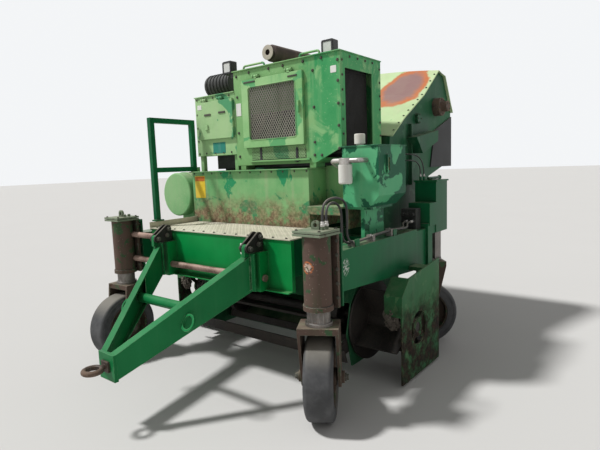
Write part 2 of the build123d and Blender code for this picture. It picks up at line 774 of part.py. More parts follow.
# Grille door: a frame round expanded metal, drawn as two sets of slanting bars, hung from its upper edge.
def grille_door():
    front = house_front_y - seat_gap - door_thickness
    back = house_front_y - seat_gap
    frame = block(door_left_x, door_right_x, front, back, door_bottom, door_top)
    window_left = door_left_x + door_frame
    window_right = door_right_x - door_frame
    window_low = door_bottom + door_frame - 10
    window_high = door_top - door_frame + 10
    frame -= block(window_left, window_right, front - 1, back + 1, window_low, window_high)
    frame -= block(door_left_x + sheet, door_right_x - sheet, front + sheet, back + 1,
                   door_bottom + sheet, door_top - sheet)
    middle_y = front + sheet / 2
    width = window_right - window_left
    height = window_high - window_low
    bars = []
    window = block(window_left - 3, window_right + 3, front, front + sheet, window_low - 3, window_high + 3)
    slope = math.radians(63)
    span = height / math.sin(slope)
    run = height / math.tan(slope)
    count = int((width + run) / mesh_pitch) + 1
    for lean in (-1, 1):
        for i in range(count):
            x = window_left + (i + 0.5) * mesh_pitch - (run if lean > 0 else 0)
            bar = Box(mesh_bar, mesh_bar - 2, span + 40)
            tilt = lean * (90 - math.degrees(slope))
            place = Pos(x + run / 2, middle_y + lean * 0.8, (window_low + window_high) / 2)
            cut = (place * Rot(0, tilt, 0) * bar) & window
            if cut.volume > 1:
                bars.append(cut)
    handle = block(door_right_x - 46, door_right_x - 26, front - 22, front + 1, 2010, 2100)
    return joined([frame] + bars + [handle] + door_hinge(door_hinges, front, door_top))


parts["grille_door"] = grille_door()

# Radiator core behind the side opening: a block with upright fins.
core = block(house_right_x - core_inset - core_thickness, house_right_x - core_inset,
             core_front_y + 6, core_rear_y - 6, core_bottom - 14, core_top + 14)
fin_count = 22
fin_pitch = (core_rear_y - core_front_y - 40) / fin_count
for i in range(fin_count):
    y = core_front_y + 24 + i * fin_pitch
    core -= block(house_right_x - core_inset - 8, house_right_x - core_inset + 1, y, y + fin_pitch * 0.5,
                  core_bottom + 10, core_top - 10)
tank_ends = []
end_heights = ((house_bottom + house_bevel_z - 40, core_bottom - 13),
               (core_top + 13, house_top - sheet - seat_gap))
for z0, z1 in end_heights:
    tank_ends.append(block(house_right_x - core_inset - core_thickness - 10, house_right_x - core_inset + 10,
                           core_front_y, core_rear_y, z0, z1))
parts["radiator_core"] = joined([core] + tank_ends)

# Engine as one plain block on its mounts.
engine = block(engine_left_x, engine_right_x, engine_front_y, engine_rear_y, engine_bottom, engine_top)
mounts = []
for x in (engine_left_x + 60, engine_right_x - 160):
    mounts.append(block(x, x + 100, engine_front_y + 40, tank_rear_y - 30, tank_top + sheet + seat_gap,
                        engine_bottom + 1))
parts["engine_block"] = joined([engine] + mounts)


# Control cabinet beside the housing, with its own door above a bare lower panel.
def cabinet():
    right = house_left_x - seat_gap
    front = house_front_y
    back = front + cabinet_depth
    inner_back = engine_front_y - 14
    case = block(cabinet_left_x, right, front, inner_back, cabinet_bottom, cabinet_top)
    case -= block(cabinet_left_x + sheet, right - sheet, front + sheet, inner_back - sheet,
                  cabinet_door_bottom + 20, cabinet_top - sheet)
    case -= block(cabinet_door_left + 20, right - 30, front - 1, front + sheet + 1,
                  cabinet_door_bottom + 25, cabinet_door_top - 25)
    brow = block(cabinet_left_x - 5, right, front - 10, inner_back, cabinet_top, cabinet_top + sheet)
    legs_out = []
    leg_foot = tank_top + sheet + seat_gap
    for x in (cabinet_left_x + 10, right - 50):
        legs_out.append(block(x, x + 40, front + 20, front + 60, leg_foot, cabinet_bottom + 1))
    shade = block(cabinet_left_x, right, inner_back - 1, back, cabinet_top - 150, cabinet_top + sheet)
    ears = door_ears(cabinet_hinges, front - seat_gap - cabinet_door_thickness, cabinet_door_top, front)
    return joined([case, brow, shade] + legs_out + ears)


parts["control_cabinet"] = cabinet()
door_back = house_front_y - seat_gap
door_front = door_back - cabinet_door_thickness
panel = block(cabinet_door_left, house_left_x - 14, door_front, door_back,
              cabinet_door_bottom, cabinet_door_top)
panel -= block(cabinet_door_left + 5, house_left_x - 19, door_front + 5, door_back + 1,
               cabinet_door_bottom + 5, cabinet_door_top - 5)
latch_z = cabinet_door_bottom + 104
latch = block(-668, -632, door_front - 12, door_front + 1, latch_z - 22, latch_z + 22)
parts["cabinet_door"] = joined([panel, latch] + door_hinge(cabinet_hinges, door_front, cabinet_door_top))

# Air cleaner: a ribbed drum across the machine on the cabinet's roof.
drum_left = cleaner_x - 160
drum = rod((drum_left, 960, cleaner_z), (drum_left + 320, 960, cleaner_z), cleaner_radius)
for i in range(7):
    x = drum_left + 20 + i * 44
    drum += rod((x, 960, cleaner_z), (x + 14, 960, cleaner_z), cleaner_radius + cleaner_rib)
saddle = block(cleaner_x - 60, cleaner_x + 80, 930, 990, cabinet_top + sheet + seat_gap, cleaner_z)
parts["air_cleaner"] = drum + saddle

# Exhaust silencer lying along the roof on two saddles, with a short tail pipe.
muffler = rod((muffler_x, muffler_front_y, muffler_z), (muffler_x, muffler_rear_y, muffler_z),
              muffler_radius)
muffler = fillet(muffler.edges().filter_by(GeomType.CIRCLE), 16)
outlet = pipe((muffler_x, muffler_front_y - 34, muffler_z), (muffler_x, muffler_front_y + 4, muffler_z),
              42, 34)
saddles = []
for y in (muffler_front_y + 90, house_rear_y - 90):
    saddles.append(block(muffler_x - 50, muffler_x + 50, y, y + 40, roof_z, muffler_z - 30))
parts["muffler"] = joined([muffler, outlet] + saddles)

# Work lamps: one stands on the roof's left front corner, one hangs beside its right front corner.
def lamp(x, y, low):
    """A square lamp body with a shallow recess in its front for the lens."""
    half_side = lamp_side / 2
    body = block(x - half_side, x + half_side, y, y + lamp_depth, low, low + lamp_side)
    body = fillet(body.edges().filter_by(Axis.Y), 12)
    return body - block(x - half_side + 12, x + half_side - 12, y - 1, y + 8, low + 12, low + lamp_side - 12)


standing_x = house_right_x - 169
standing_y = house_front_y + 90
hung_x = house_left_x - lamp_side / 2 - 7
hung_y = house_front_y - 10
hung_low = house_top - 5
lamp_foot = block(standing_x - 20, standing_x + 20, standing_y + 13, standing_y + 53,
                  roof_z, roof_z + lamp_lift + 2)
lamp_bracket = block(hung_x + 30, house_left_x - seat_gap, hung_y + 10, hung_y + 50,
                     hung_low - 35, hung_low + 2)
parts["work_lamps"] = Compound(children=[
    lamp(standing_x, standing_y, roof_z + lamp_lift) + lamp_foot,
    lamp(hung_x, hung_y, hung_low) + lamp_bracket,
])

# Handrail: two posts, a top bar and a middle bar of square tube.
half = handrail_bar / 2
rail_foot = deck_z + toe_height + seat_gap
rail_left = handrail_x - half
rail_right = handrail_x + half
parts["handrail"] = joined([
    block(rail_left, rail_right, handrail_front_y - half, handrail_front_y + half,
          rail_foot + 10, handrail_top),
    block(rail_left, rail_right, handrail_rear_y - half, handrail_rear_y + half,
          tank_top + sheet + seat_gap, handrail_top),
    block(rail_left, rail_right, handrail_front_y - half, handrail_rear_y + half,
          handrail_top - handrail_bar, handrail_top),
    block(rail_left, rail_right, handrail_front_y - half, handrail_rear_y + half,
          handrail_middle - half, handrail_middle + half),
    block(rail_left, -deck_half + sheet, handrail_front_y - 40, handrail_front_y + 40,
          rail_foot, rail_foot + 11),
])


# Tow tongue: two box beams that meet at a nose, joined by a round tube, with a hinge lug at each root.
def tongue():
    pieces = []
    root_y = tongue_root_y
    root_low = tongue_root_top - tongue_depth
    tip_low = tongue_tip_top - tongue_tip_depth
    for side in (-1, 1):
        x_root = side * bracket_x
        x_tip = side * tongue_tip_x
        half_root = tongue_width / 2
        outline = [(root_y, root_low), (root_y, tongue_root_top), (tongue_tip_y, tongue_tip_top),
                   (tongue_tip_y, tip_low)]
        tall = slab(outline, -1200, 1200)
        plan = flat([(x_root - half_root, root_y), (x_root + half_root, root_y),
                     (x_tip + half_root, tongue_tip_y), (x_tip - half_root, tongue_tip_y)], 0, 1300)
        inner_plan = flat([(x_root - half_root + tongue_wall, root_y - 14),
                           (x_root + half_root - tongue_wall, root_y - 14),
                           (x_tip + half_root - tongue_wall, tongue_tip_y + 60),
                           (x_tip - half_root + tongue_wall, tongue_tip_y + 60)], 0, 1300)
        hollow = slab([(root_y - 14, root_low + tongue_wall),
                       (root_y - 14, tongue_root_top - tongue_wall - 9),
                       (tongue_tip_y + 60, tongue_tip_top + 28 - tongue_wall),
                       (tongue_tip_y + 60, tip_low + 34 + tongue_wall)], -1200, 1200)
        pieces.append((tall & plan) - (hollow & inner_plan))
        end = block(x_root - 52, x_root + 52, root_y - 12, root_y, root_low - 6, tongue_root_top + 5)
        lug_face = make_hull([*(Pos(root_y - 30, tongue_root_top - 8) * Rectangle(58, 16)).edges(),
                              *(Pos(hinge_y, hinge_z) * Circle(hinge_pin_radius + 12)).edges()])
        lug = extrude(Plane.YZ * lug_face, tongue_lug_thickness)
        lug = Pos(x_root - tongue_lug_thickness / 2, 0, 0) * lug
        lug -= rod((x_root - 60, hinge_y, hinge_z), (x_root + 60, hinge_y, hinge_z),
                   hinge_pin_radius + pin_clearance)
        pieces.append(end)
        pieces.append(lug)
    share = tie_tube_share
    tube_y = root_y + (tongue_tip_y - root_y) * share
    tube_z = tongue_root_top - tongue_depth / 2
    tube_z += (tongue_tip_top - tongue_tip_depth / 2 - tube_z) * share
    tube_x = bracket_x + (tongue_tip_x - bracket_x) * share
    pieces.append(rod((-tube_x, tube_y, tube_z), (tube_x, tube_y, tube_z), tie_tube_radius))
    ring_x = bracket_x + (tongue_tip_x - bracket_x) * tie_ring_share + tongue_width / 2 + tie_ring_offset
    ring_y = root_y + (tongue_tip_y - root_y) * tie_ring_share
    root_middle = tongue_root_top - tongue_depth / 2
    ring_z = root_middle + (tongue_tip_top - tongue_tip_depth / 2 - root_middle) * tie_ring_share
    for side in (-1, 1):
        ring = rod((0, -tie_ring_thickness / 2, 0), (0, tie_ring_thickness / 2, 0), tie_ring_radius)
        hole = rod((0, -tie_ring_thickness, 0), (0, tie_ring_thickness, 0), tie_ring_radius - tie_ring_wall)
        pieces.append(Pos(side * ring_x, ring_y, ring_z) * Rot(-tie_ring_lean, 0, 0) * (ring - hole))
    nose = block(-tongue_tip_x - 36, tongue_tip_x + 36, tongue_tip_y - 12, tongue_tip_y + 14,
                 tip_low - 6, tongue_tip_top + 6)
    pieces.append(nose)
    return joined(pieces)


parts["tongue"] = tongue()
ring_y = -ring_reach + ring_radius
tow_ring = Torus(ring_radius - ring_bar_radius, ring_bar_radius) - Cylinder(ring_bore, 4 * ring_bar_radius)
tow_ring = Pos(0, ring_y, ring_z) * tow_ring
shank_y = ring_y + ring_radius - ring_bar_radius - 4
shank = rod((0, shank_y, ring_z), (0, tongue_tip_y - 12 - seat_gap, ring_z), ring_bar_radius - 1)
shank_back = tongue_tip_y - 12 - seat_gap
shank_plate = block(-38, 38, shank_back - 14, shank_back, ring_z - 34, ring_z + 34)
parts["tow_ring"] = joined([tow_ring, shank, shank_plate])

# Elevator. Its slats run from the tail shaft in the boot up to the head shaft.
run_y = head_y - tail_y
run_z = head_z - tail_z
run_length = math.hypot(run_y, run_z)
along = (run_y / run_length, run_z / run_length)
below = (along[1], -along[0])
slat_reach = sprocket_radius + chain_thickness + slat_height
pan_offset = slat_reach + pan_clearance


def beside_run(distance, offset):
    """A (y, z) point a distance up the run from the tail shaft, offset below it."""
    return (tail_y + along[0] * distance + below[0] * offset,
            tail_z + along[1] * distance + below[1] * offset)


head_back_y = curtain_reach - curtain_thickness - seat_gap
hood_line = [(1350, 1820), (1590, 1985), (head_y - 310, head_z + 85), (head_y + 30, head_z + 345),
             (head_y + 190, head_z + 310), (head_y + 330, head_z + 60), (head_back_y, curtain_top)]
pan_low = beside_run(0, pan_offset + sheet)
pan_high = beside_run(pan_run, pan_offset + sheet)
front_line = [(700, 560), (1090, 1080), (1200, 1300), (1330, 1500)]
side_outline = [(700, 70), (640, 330)] + front_line + hood_line
side_outline += [(head_back_y, 1740), (head_y + 210, 1560)]
side_outline += [(pan_high[0] + wall_margin, pan_high[1]), (pan_low[0] + wall_margin, pan_low[1]),
                 (1130, 70)]
pieces = []
for side in (-1, 1):
    x0, x1 = sorted((side * elevator_half, side * (elevator_half - elevator_wall)))
    wall = slab(side_outline, x0, x1)
    for y, z in ((tail_y, tail_z), (head_y, head_z)):
        wall -= rod((x0 - 1, y, z), (x1 + 1, y, z), shaft_radius + seat_gap)
    pieces.append(wall)
inner_half = elevator_half - elevator_wall + 1
pan = slab([beside_run(0, pan_offset), beside_run(pan_run, pan_offset), pan_high, pan_low],
           -inner_half, inner_half)
trough = pipe((-inner_half, tail_y, tail_z), (inner_half, tail_y, tail_z), pan_offset + sheet, pan_offset)
trough_wedge = slab([(tail_y, tail_z), beside_run(0, 500), (tail_y, tail_z - 600)], -inner_half, inner_half)
front_inner = [(y + sheet, z - 5) for y, z in reversed(front_line + hood_line[:1])]
front_pan = slab(front_line + hood_line[:1] + front_inner, -inner_half, inner_half)
stiffeners = [block(-inner_half, inner_half, head_back_y - 20, head_back_y,
                    curtain_top - 110, curtain_top - 40)]
# Each stiffener's place is a share of the way from the tail shaft to the head shaft, and a height.
for share, z in ((0.3882175, 1640), (0.5996979, 1960)):
    y = tail_y + run_y * share
    stiffeners.append(block(-inner_half, inner_half, y, y + 60, z, z + 60))
# On the left wall: a duct, an upright rib and a bearing cap.
wall_details = [
    slab([(head_y - 513, head_z - 443), (head_y - 177, head_z - 331), (head_y - 164, head_z - 231),
          (head_y - 633, head_z - 305)], elevator_half - 1, elevator_half + 100),
    block(elevator_half - 1, elevator_half + 30, 1700, 1724, 1400, 1935),
    rod((elevator_half - 1, 1870, 1990), (elevator_half + 30, 1870, 1990), 45),
]
tail_trough = trough & trough_wedge
parts["elevator_housing"] = joined(pieces + [pan, tail_trough, front_pan] + wall_details + stiffeners)


def hood_section(index):
    """Crowned band across the elevator at one point of the hood line, square to the line there."""
    y, z = hood_line[index]
    before = hood_line[max(index - 1, 0)]
    after = hood_line[min(index + 1, len(hood_line) - 1)]
    step = math.hypot(after[0] - before[0], after[1] - before[1])
    out_y = -(after[1] - before[1]) / step
    out_z = (after[0] - before[0]) / step
    half = elevator_half + hood_overhang
    crown = hood_crowns[index]
    dip = crown * (1 - (elevator_half / half) ** 2)
    low = seat_gap * 2 - dip

    def point(x, lift):
        return (x, y + out_y * lift, z + out_z * lift)

    under = ThreePointArc(point(-half, low), point(0, low + crown), point(half, low))
    over = ThreePointArc(point(half, low + hood_thickness), point(0, low + crown + hood_thickness),
                         point(-half, low + hood_thickness))
    ends = [Line(point(half, low), point(half, low + hood_thickness)),
            Line(point(-half, low + hood_thickness), point(-half, low))]
    return Face(Wire([under.edge(), ends[0].edge(), over.edge(), ends[1].edge()]))


parts["elevator_hood"] = loft([hood_section(i) for i in range(len(hood_line))], ruled=True)

# Rubber curtain that hangs behind the discharge chute, with a side skirt on each wall.
curtain_half = elevator_half - elevator_wall - 10
skirt_end = curtain_reach - 18
skirt_outline = [(head_y - 140, curtain_bottom), (skirt_end, curtain_bottom), (skirt_end, curtain_top - 40),
                 (head_y - 40, 1900)]
curtain_sheets = [block(-curtain_half, curtain_half, curtain_reach - curtain_thickness, curtain_reach,
                        curtain_bottom, curtain_top - 30)]
for side in (-1, 1):
    x0, x1 = sorted((side * (elevator_half + seat_gap), side * (elevator_half + 12)))
    curtain_sheets.append(slab(skirt_outline, x0, x1))
parts["discharge_curtain"] = Compound(children=curtain_sheets)

# Slat chain: two chain loops round the sprockets and slats across them, as one closed loop.
loop_outer = sprocket_radius + chain_thickness


def stadium(radius, x0, x1):
    """A solid loop outline round both shafts, at a radius, thick from x0 to x1."""
    slope = math.degrees(math.atan2(run_z, run_y))
    face = Rot(0, 0, slope) * SlotCenterToCenter(run_length, 2 * radius)
    face = Pos((tail_y + head_y) / 2, (tail_z + head_z) / 2) * face
    return Pos(x0, 0, 0) * extrude(Plane.YZ * face, x1 - x0)


chain_pieces = []
for side in (-1, 1):
    x0 = side * chain_x - chain_width / 2
    chain_pieces.append(stadium(loop_outer, x0, x0 + chain_width)
                        - stadium(sprocket_radius, x0 - 1, x0 + chain_width + 1))
arc_length = math.pi * loop_outer
loop_length = 2 * (run_length + arc_length)
slat_box = Pos(0, 0, loop_outer + slat_height / 2 - 1) * Box(2 * slat_half, slat_thickness, slat_height)
base_tilt = math.degrees(math.atan2(run_z, run_y))
for i in range(slat_count):
    place = loop_length * (i + 0.5) / slat_count
    if place < run_length:
        y, z, tilt = *beside_run(place, 0), base_tilt
    elif place < run_length + arc_length:
        y, z, tilt = head_y, head_z, base_tilt - math.degrees((place - run_length) / loop_outer)
    elif place < 2 * run_length + arc_length:
        y, z = beside_run(2 * run_length + arc_length - place, 0)
        tilt = base_tilt + 180
    else:
        y, z = tail_y, tail_z
        tilt = base_tilt + 180 - math.degrees((place - 2 * run_length - arc_length) / loop_outer)
    chain_pieces.append(Pos(0, y, z) * Rot(tilt, 0, 0) * slat_box)
parts["slat_chain"] = joined(chain_pieces)


def sprockets(y, z):
    """Two chain wheels on a shaft at (y, z)."""
    wheels = []
    for side in (-1, 1):
        x0 = side * chain_x - 12
        wheels.append(rod((x0, y, z), (x0 + 24, y, z), sprocket_radius - seat_gap))
    return wheels


head_reach = elevator_half + 46
head_pieces = sprockets(head_y, head_z)
head_pieces.append(rod((-head_reach, head_y, head_z), (head_reach, head_y, head_z), shaft_radius))
drive_x = elevator_half + seat_gap
head_pieces.append(rod((drive_x, head_y, head_z), (drive_x + 70, head_y, head_z), 85))
head_pieces.append(rod((drive_x + 60, head_y, head_z), (drive_x + 130, head_y, head_z), 50))
parts["head_shaft"] = joined(head_pieces)

# Pickup drum in the boot: the tail shaft with chain wheels, end discs and paddles outside the walls.
drum_end = side_plate_x - plate - seat_gap
drum_pieces = sprockets(tail_y, tail_z)
drum_pieces.append(rod((-drum_end, tail_y, tail_z), (drum_end, tail_y, tail_z), shaft_radius))
for side in (-1, 1):
    x0, x1 = sorted((side * (elevator_half + 12), side * (elevator_half + 12 + drum_thickness)))
    drum_pieces.append(rod((x0, tail_y, tail_z), (x1, tail_y, tail_z), drum_radius))
    x0, x1 = sorted((side * (elevator_half + 12), side * (drum_end - 30)))
    drum_pieces.append(rod((x0, tail_y, tail_z), (x1, tail_y, tail_z), shaft_radius + 30))
    for i in range(paddle_count):
        paddle = Box(x1 - x0 - 1, 12, drum_radius - shaft_radius - 30)
        paddle = Pos((x0 + x1) / 2, 0, (drum_radius + shaft_radius) / 2) * paddle
        drum_pieces.append(Pos(0, tail_y, tail_z) * Rot(360 * i / paddle_count + 25, 0, 0) * paddle)
parts["pickup_drum"] = joined(drum_pieces)


# Boot side plates: outer guards with a hub opening, a bevelled front corner and a return along its top.
def side_plate():
    inner = side_plate_x - plate
    bevel = 115
    outline = [(boot_front_y, boot_bottom), (boot_rear_y, boot_bottom), (boot_rear_y, boot_top + 60),
               (boot_front_y + bevel, boot_top), (boot_front_y, boot_top - bevel)]
    wall = slab(outline, inner, side_plate_x)
    wall -= rod((inner - 1, tail_y, tail_z), (side_plate_x + 1, tail_y, tail_z), hub_hole_radius)
    front = block(inner - boot_return, inner + 1, boot_front_y, boot_front_y + sheet,
                  boot_top - bevel - 150, boot_top - bevel)
    hip = slab([(boot_front_y, boot_top - bevel), (boot_front_y + bevel, boot_top),
                (boot_front_y + bevel + 4, boot_top - sheet), (boot_front_y + sheet, boot_top - bevel - 4)],
               inner - boot_return, inner + 1)
    # Bearing flange inside the hub opening, held on a spider of four arms.
    spider = pipe((inner - 10, tail_y, tail_z), (inner + 4, tail_y, tail_z), 74, shaft_radius + seat_gap)
    for i in range(4):
        arm_bar = Pos(0, 0, hub_hole_radius / 2 + 40) * Box(14, 36, hub_hole_radius - 30)
        spider += Pos(inner - 3, tail_y, tail_z) * Rot(45 + 90 * i, 0, 0) * arm_bar
    # Hanger from the plate to the side arm beside it.
    hanger = block(arm_outer_x + seat_gap, inner + 1, hanger_y, hanger_y + 120, hanger_z, hanger_z + 30)
    return joined([wall, front, hip, spider, hanger])


parts["side_plate_left"] = side_plate()
parts["side_plate_right"] = mirrored(side_plate())

# Intake blade ahead of the boot, on two arms from the elevator's walls.
blade_outline = [(blade_y, blade_bottom), (blade_y + 14, blade_bottom),
                 (blade_y - 16, blade_top), (blade_y - 30, blade_top)]
blade = slab(blade_outline, -blade_half, blade_half)
blade_arms = []
arm_reach = elevator_half - elevator_wall - seat_gap
for side in (-1, 1):
    x0, x1 = sorted((side * arm_reach, side * (arm_reach - 20)))
    blade_arms.append(slab([(blade_y, blade_bottom + 20), (740, 200), (740, 330), (blade_y - 20, blade_top)],
                           x0, x1))
parts["intake_blade"] = joined([blade] + blade_arms)

# Valve bank on the left arm's post, and the head drive's gear case on the elevator's left wall.
valve_x = arm_outer_x - 60
valve_y = post_front_y - 90 - seat_gap
valve_low = arm_top - 20 + seat_gap
bank = block(valve_x - 130, valve_x, valve_y, valve_y + 90, valve_low, arm_top + 150)
valve_pieces = [bank]
for i in range(3):
    for j in range(2):
        x = valve_x - 108 + 42 * i
        z = arm_top + 50 + 56 * j
        valve_pieces.append(rod((x, valve_y - 26, z), (x, valve_y + 1, z), 14))
parts["valve_bank"] = joined(valve_pieces)

# Hoses. Each row is a name, a diameter, and the corners of its route, which are rounded.
column_port_x = leg_x + column_fitting_x
rear_port_y = wheel_base + rear_fitting_y
wall_port_x = elevator_half + seat_gap
port_y = valve_y - 26 - seat_gap
hose_lift = 0.5             # a hose's end above the fitting it stands on
hoses = (
    # The outer leg hose loops over from the column's cap and lies along the arm.
    ("leg_hose_outer", 15, [
        (column_port_x, 0, column_fitting_top + hose_lift), (column_port_x, -2, 1298), (1092, 22, 1388),
        (1090, 150, 1408), (1088, 268, 1370), (1086, 285, 1260), (1085, 268, 1150), (1084, 330, 1092),
        (1084, 480, 1096), (1083, 700, 1108), (1086, 915, 1112), (1102, 1110, 1098),
        (valve_x - 24, 1240, arm_top + 50), (valve_x - 24, port_y, arm_top + 50)]),
    ("leg_hose_inner", 15, [
        (column_port_x, 42, column_fitting_top + hose_lift), (1091, 40, 1290), (1080, 70, 1360),
        (1068, 160, 1378), (1064, 242, 1335), (1062, 256, 1235), (1062, 250, 1140), (1062, 310, 1087),
        (1061, 470, 1092), (1062, 690, 1104), (1063, 910, 1110), (1074, 1110, 1096),
        (valve_x - 66, 1240, arm_top + 50), (valve_x - 66, port_y, arm_top + 50)]),
    # Two thinner hoses arc from the elevator's wall to the rear column's cap.
    ("rear_hose_upper", 10, [
        (wall_port_x, 1436, 1672), (930, 1436, 1672), (1008, 1515, 1655),
        (rear_leg_x + rear_fitting_xs[1], rear_port_y, 1570),
        (rear_leg_x + rear_fitting_xs[1], rear_port_y, rear_fitting_top + hose_lift)]),
    ("rear_hose_lower", 10, [
        (wall_port_x, 1440, 1618), (915, 1440, 1618), (982, 1495, 1612), (980, 1575, 1585),
        (rear_leg_x + rear_fitting_xs[0], rear_port_y, 1536),
        (rear_leg_x + rear_fitting_xs[0], rear_port_y, rear_fitting_top + hose_lift)]),
)


def hose(points, diameter):
    """A round hose along straight runs with a rounded bend at each corner, as wide as its runs allow."""
    corners = [Vector(point) for point in points]
    radii = []
    for before, at, after in zip(corners, corners[1:], corners[2:]):
        half_turn = math.radians((at - before).get_angle(after - at)) / 2
        radii.append(0.45 * min((at - before).length, (after - at).length) / math.tan(half_turn))
    path = FilletPolyline(*corners, radius=radii)
    section = Plane(origin=corners[0], z_dir=corners[1] - corners[0]) * Circle(diameter / 2)
    print("tightest bend", round(min(radii)), "length", round(path.length))
    return sweep(section, path)


for name, diameter, points in hoses:
    parts[name] = hose(points, diameter)

# Every piece moves to the frame under the middle of the machine and is written.
os.makedirs("parts", exist_ok=True)
for name, shape in parts.items():
    export_step(Pos(0, frame_shift, 0) * shape, "parts/" + name + ".step")
print(len(parts), "pieces; frame shift", frame_shift)
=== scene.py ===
import math
import bmesh
import bpy
import numpy as np
from mathutils import Matrix, Vector


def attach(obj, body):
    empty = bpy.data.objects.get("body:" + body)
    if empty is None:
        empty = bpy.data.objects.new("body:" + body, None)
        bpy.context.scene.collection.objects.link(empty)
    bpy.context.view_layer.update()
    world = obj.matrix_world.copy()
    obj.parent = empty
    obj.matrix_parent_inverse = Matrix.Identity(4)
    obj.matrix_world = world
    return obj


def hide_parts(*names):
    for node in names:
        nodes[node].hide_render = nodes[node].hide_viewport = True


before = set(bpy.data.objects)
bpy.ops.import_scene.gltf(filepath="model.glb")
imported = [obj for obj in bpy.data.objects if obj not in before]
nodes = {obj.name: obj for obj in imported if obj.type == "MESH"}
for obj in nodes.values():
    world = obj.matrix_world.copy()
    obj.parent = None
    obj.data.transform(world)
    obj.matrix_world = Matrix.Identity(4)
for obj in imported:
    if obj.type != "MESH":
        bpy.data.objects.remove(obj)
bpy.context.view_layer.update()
print("frame loaded:", len(nodes), "nodes")

# Camera, standing where the photographer stood.
cameraLook = {"place": (2.739, -3.135, 1.6), "azimuth": 38.57, "down": 6.98, "roll": 2.05, "lens": 28.8}


def unit(v):
    v = np.asarray(v, float)
    return v / np.linalg.norm(v)


def placeCamera(look):
    # The viewing line from its azimuth and its angle downwards, then the picture rolled about it.
    a, e, r = (math.radians(look[k]) for k in ("azimuth", "down", "roll"))
    forward = np.array([-math.sin(a) * math.cos(e), math.cos(a) * math.cos(e), -math.sin(e)])
    levelRight = np.array([math.cos(a), math.sin(a), 0.0])
    levelDown = np.cross(forward, levelRight)
    right = math.cos(r) * levelRight + math.sin(r) * levelDown
    down = -math.sin(r) * levelRight + math.cos(r) * levelDown
    data = bpy.data.cameras.new("photoCamera")
    data.lens = look["lens"]
    data.sensor_width = 36.0
    data.sensor_fit = "HORIZONTAL"
    data.clip_end = 500.0
    camera = bpy.data.objects.new("photoCamera", data)
    bpy.context.scene.collection.objects.link(camera)
    turn = np.eye(4)
    turn[:3, 0] = right
    turn[:3, 1] = -down
    turn[:3, 2] = -forward
    turn[:3, 3] = look["place"]
    camera.matrix_world = Matrix(turn.tolist())
    bpy.context.scene.camera = camera


placeCamera(cameraLook)
bpy.context.scene.view_settings.view_transform = "Standard"
print("camera placed")

# Hoses. Each route is the control points of the part's own hose, in metres.
hoseLook = {
    "leg_hose_outer": {"diameter": 0.015, "length": 1.696, "points": [
        (1.093, -0.860, 1.2425), (1.093, -0.862, 1.298), (1.092, -0.838, 1.388), (1.090, -0.710, 1.408),
        (1.088, -0.592, 1.370), (1.086, -0.575, 1.260), (1.085, -0.592, 1.150), (1.084, -0.530, 1.092),
        (1.084, -0.380, 1.096), (1.083, -0.160, 1.108), (1.086, 0.055, 1.112), (1.102, 0.250, 1.098),
        (1.028, 0.380, 1.120), (1.028, 0.4734, 1.120)]},
    "leg_hose_inner": {"diameter": 0.015, "length": 1.606, "points": [
        (1.093, -0.818, 1.2425), (1.091, -0.820, 1.290), (1.080, -0.790, 1.360), (1.068, -0.700, 1.378),
        (1.064, -0.618, 1.335), (1.062, -0.604, 1.235), (1.062, -0.610, 1.140), (1.062, -0.550, 1.087),
        (1.061, -0.390, 1.092), (1.062, -0.170, 1.104), (1.063, 0.050, 1.110), (1.074, 0.250, 1.096),
        (0.986, 0.380, 1.120), (0.986, 0.4734, 1.120)]},
    "rear_hose_upper": {"diameter": 0.010, "length": 0.418, "points": [
        (0.8303, 0.576, 1.672), (0.930, 0.576, 1.672), (1.008, 0.655, 1.655), (1.012, 0.752, 1.570),
        (1.012, 0.752, 1.4765)]},
    "rear_hose_lower": {"diameter": 0.010, "length": 0.365, "points": [
        (0.8303, 0.580, 1.618), (0.915, 0.580, 1.618), (0.982, 0.635, 1.612), (0.980, 0.715, 1.585),
        (0.980, 0.752, 1.536), (0.980, 0.752, 1.4765)]},
}


def hangHose(name, look):
    # A circle carried along a second degree spline that starts and ends at its first and last point.
    curve = bpy.data.curves.new(name + "Route", "CURVE")
    curve.dimensions = "3D"
    curve.bevel_depth = look["diameter"] / 2
    curve.bevel_resolution = 4
    curve.resolution_u = 10
    curve.use_fill_caps = True
    route = curve.splines.new("NURBS")
    route.points.add(len(look["points"]) - 1)
    for point, where in zip(route.points, look["points"]):
        point.co = (*where, 1.0)
    route.order_u = 3
    route.use_endpoint_u = True
    hose = bpy.data.objects.new(name + "Skin", curve)
    bpy.context.scene.collection.objects.link(hose)
    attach(hose, "root")
    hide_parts(name)
    return hose


hoses = [hangHose(name, look) for name, look in hoseLook.items() if name in nodes]
print("hoses hung:", len(hoses))


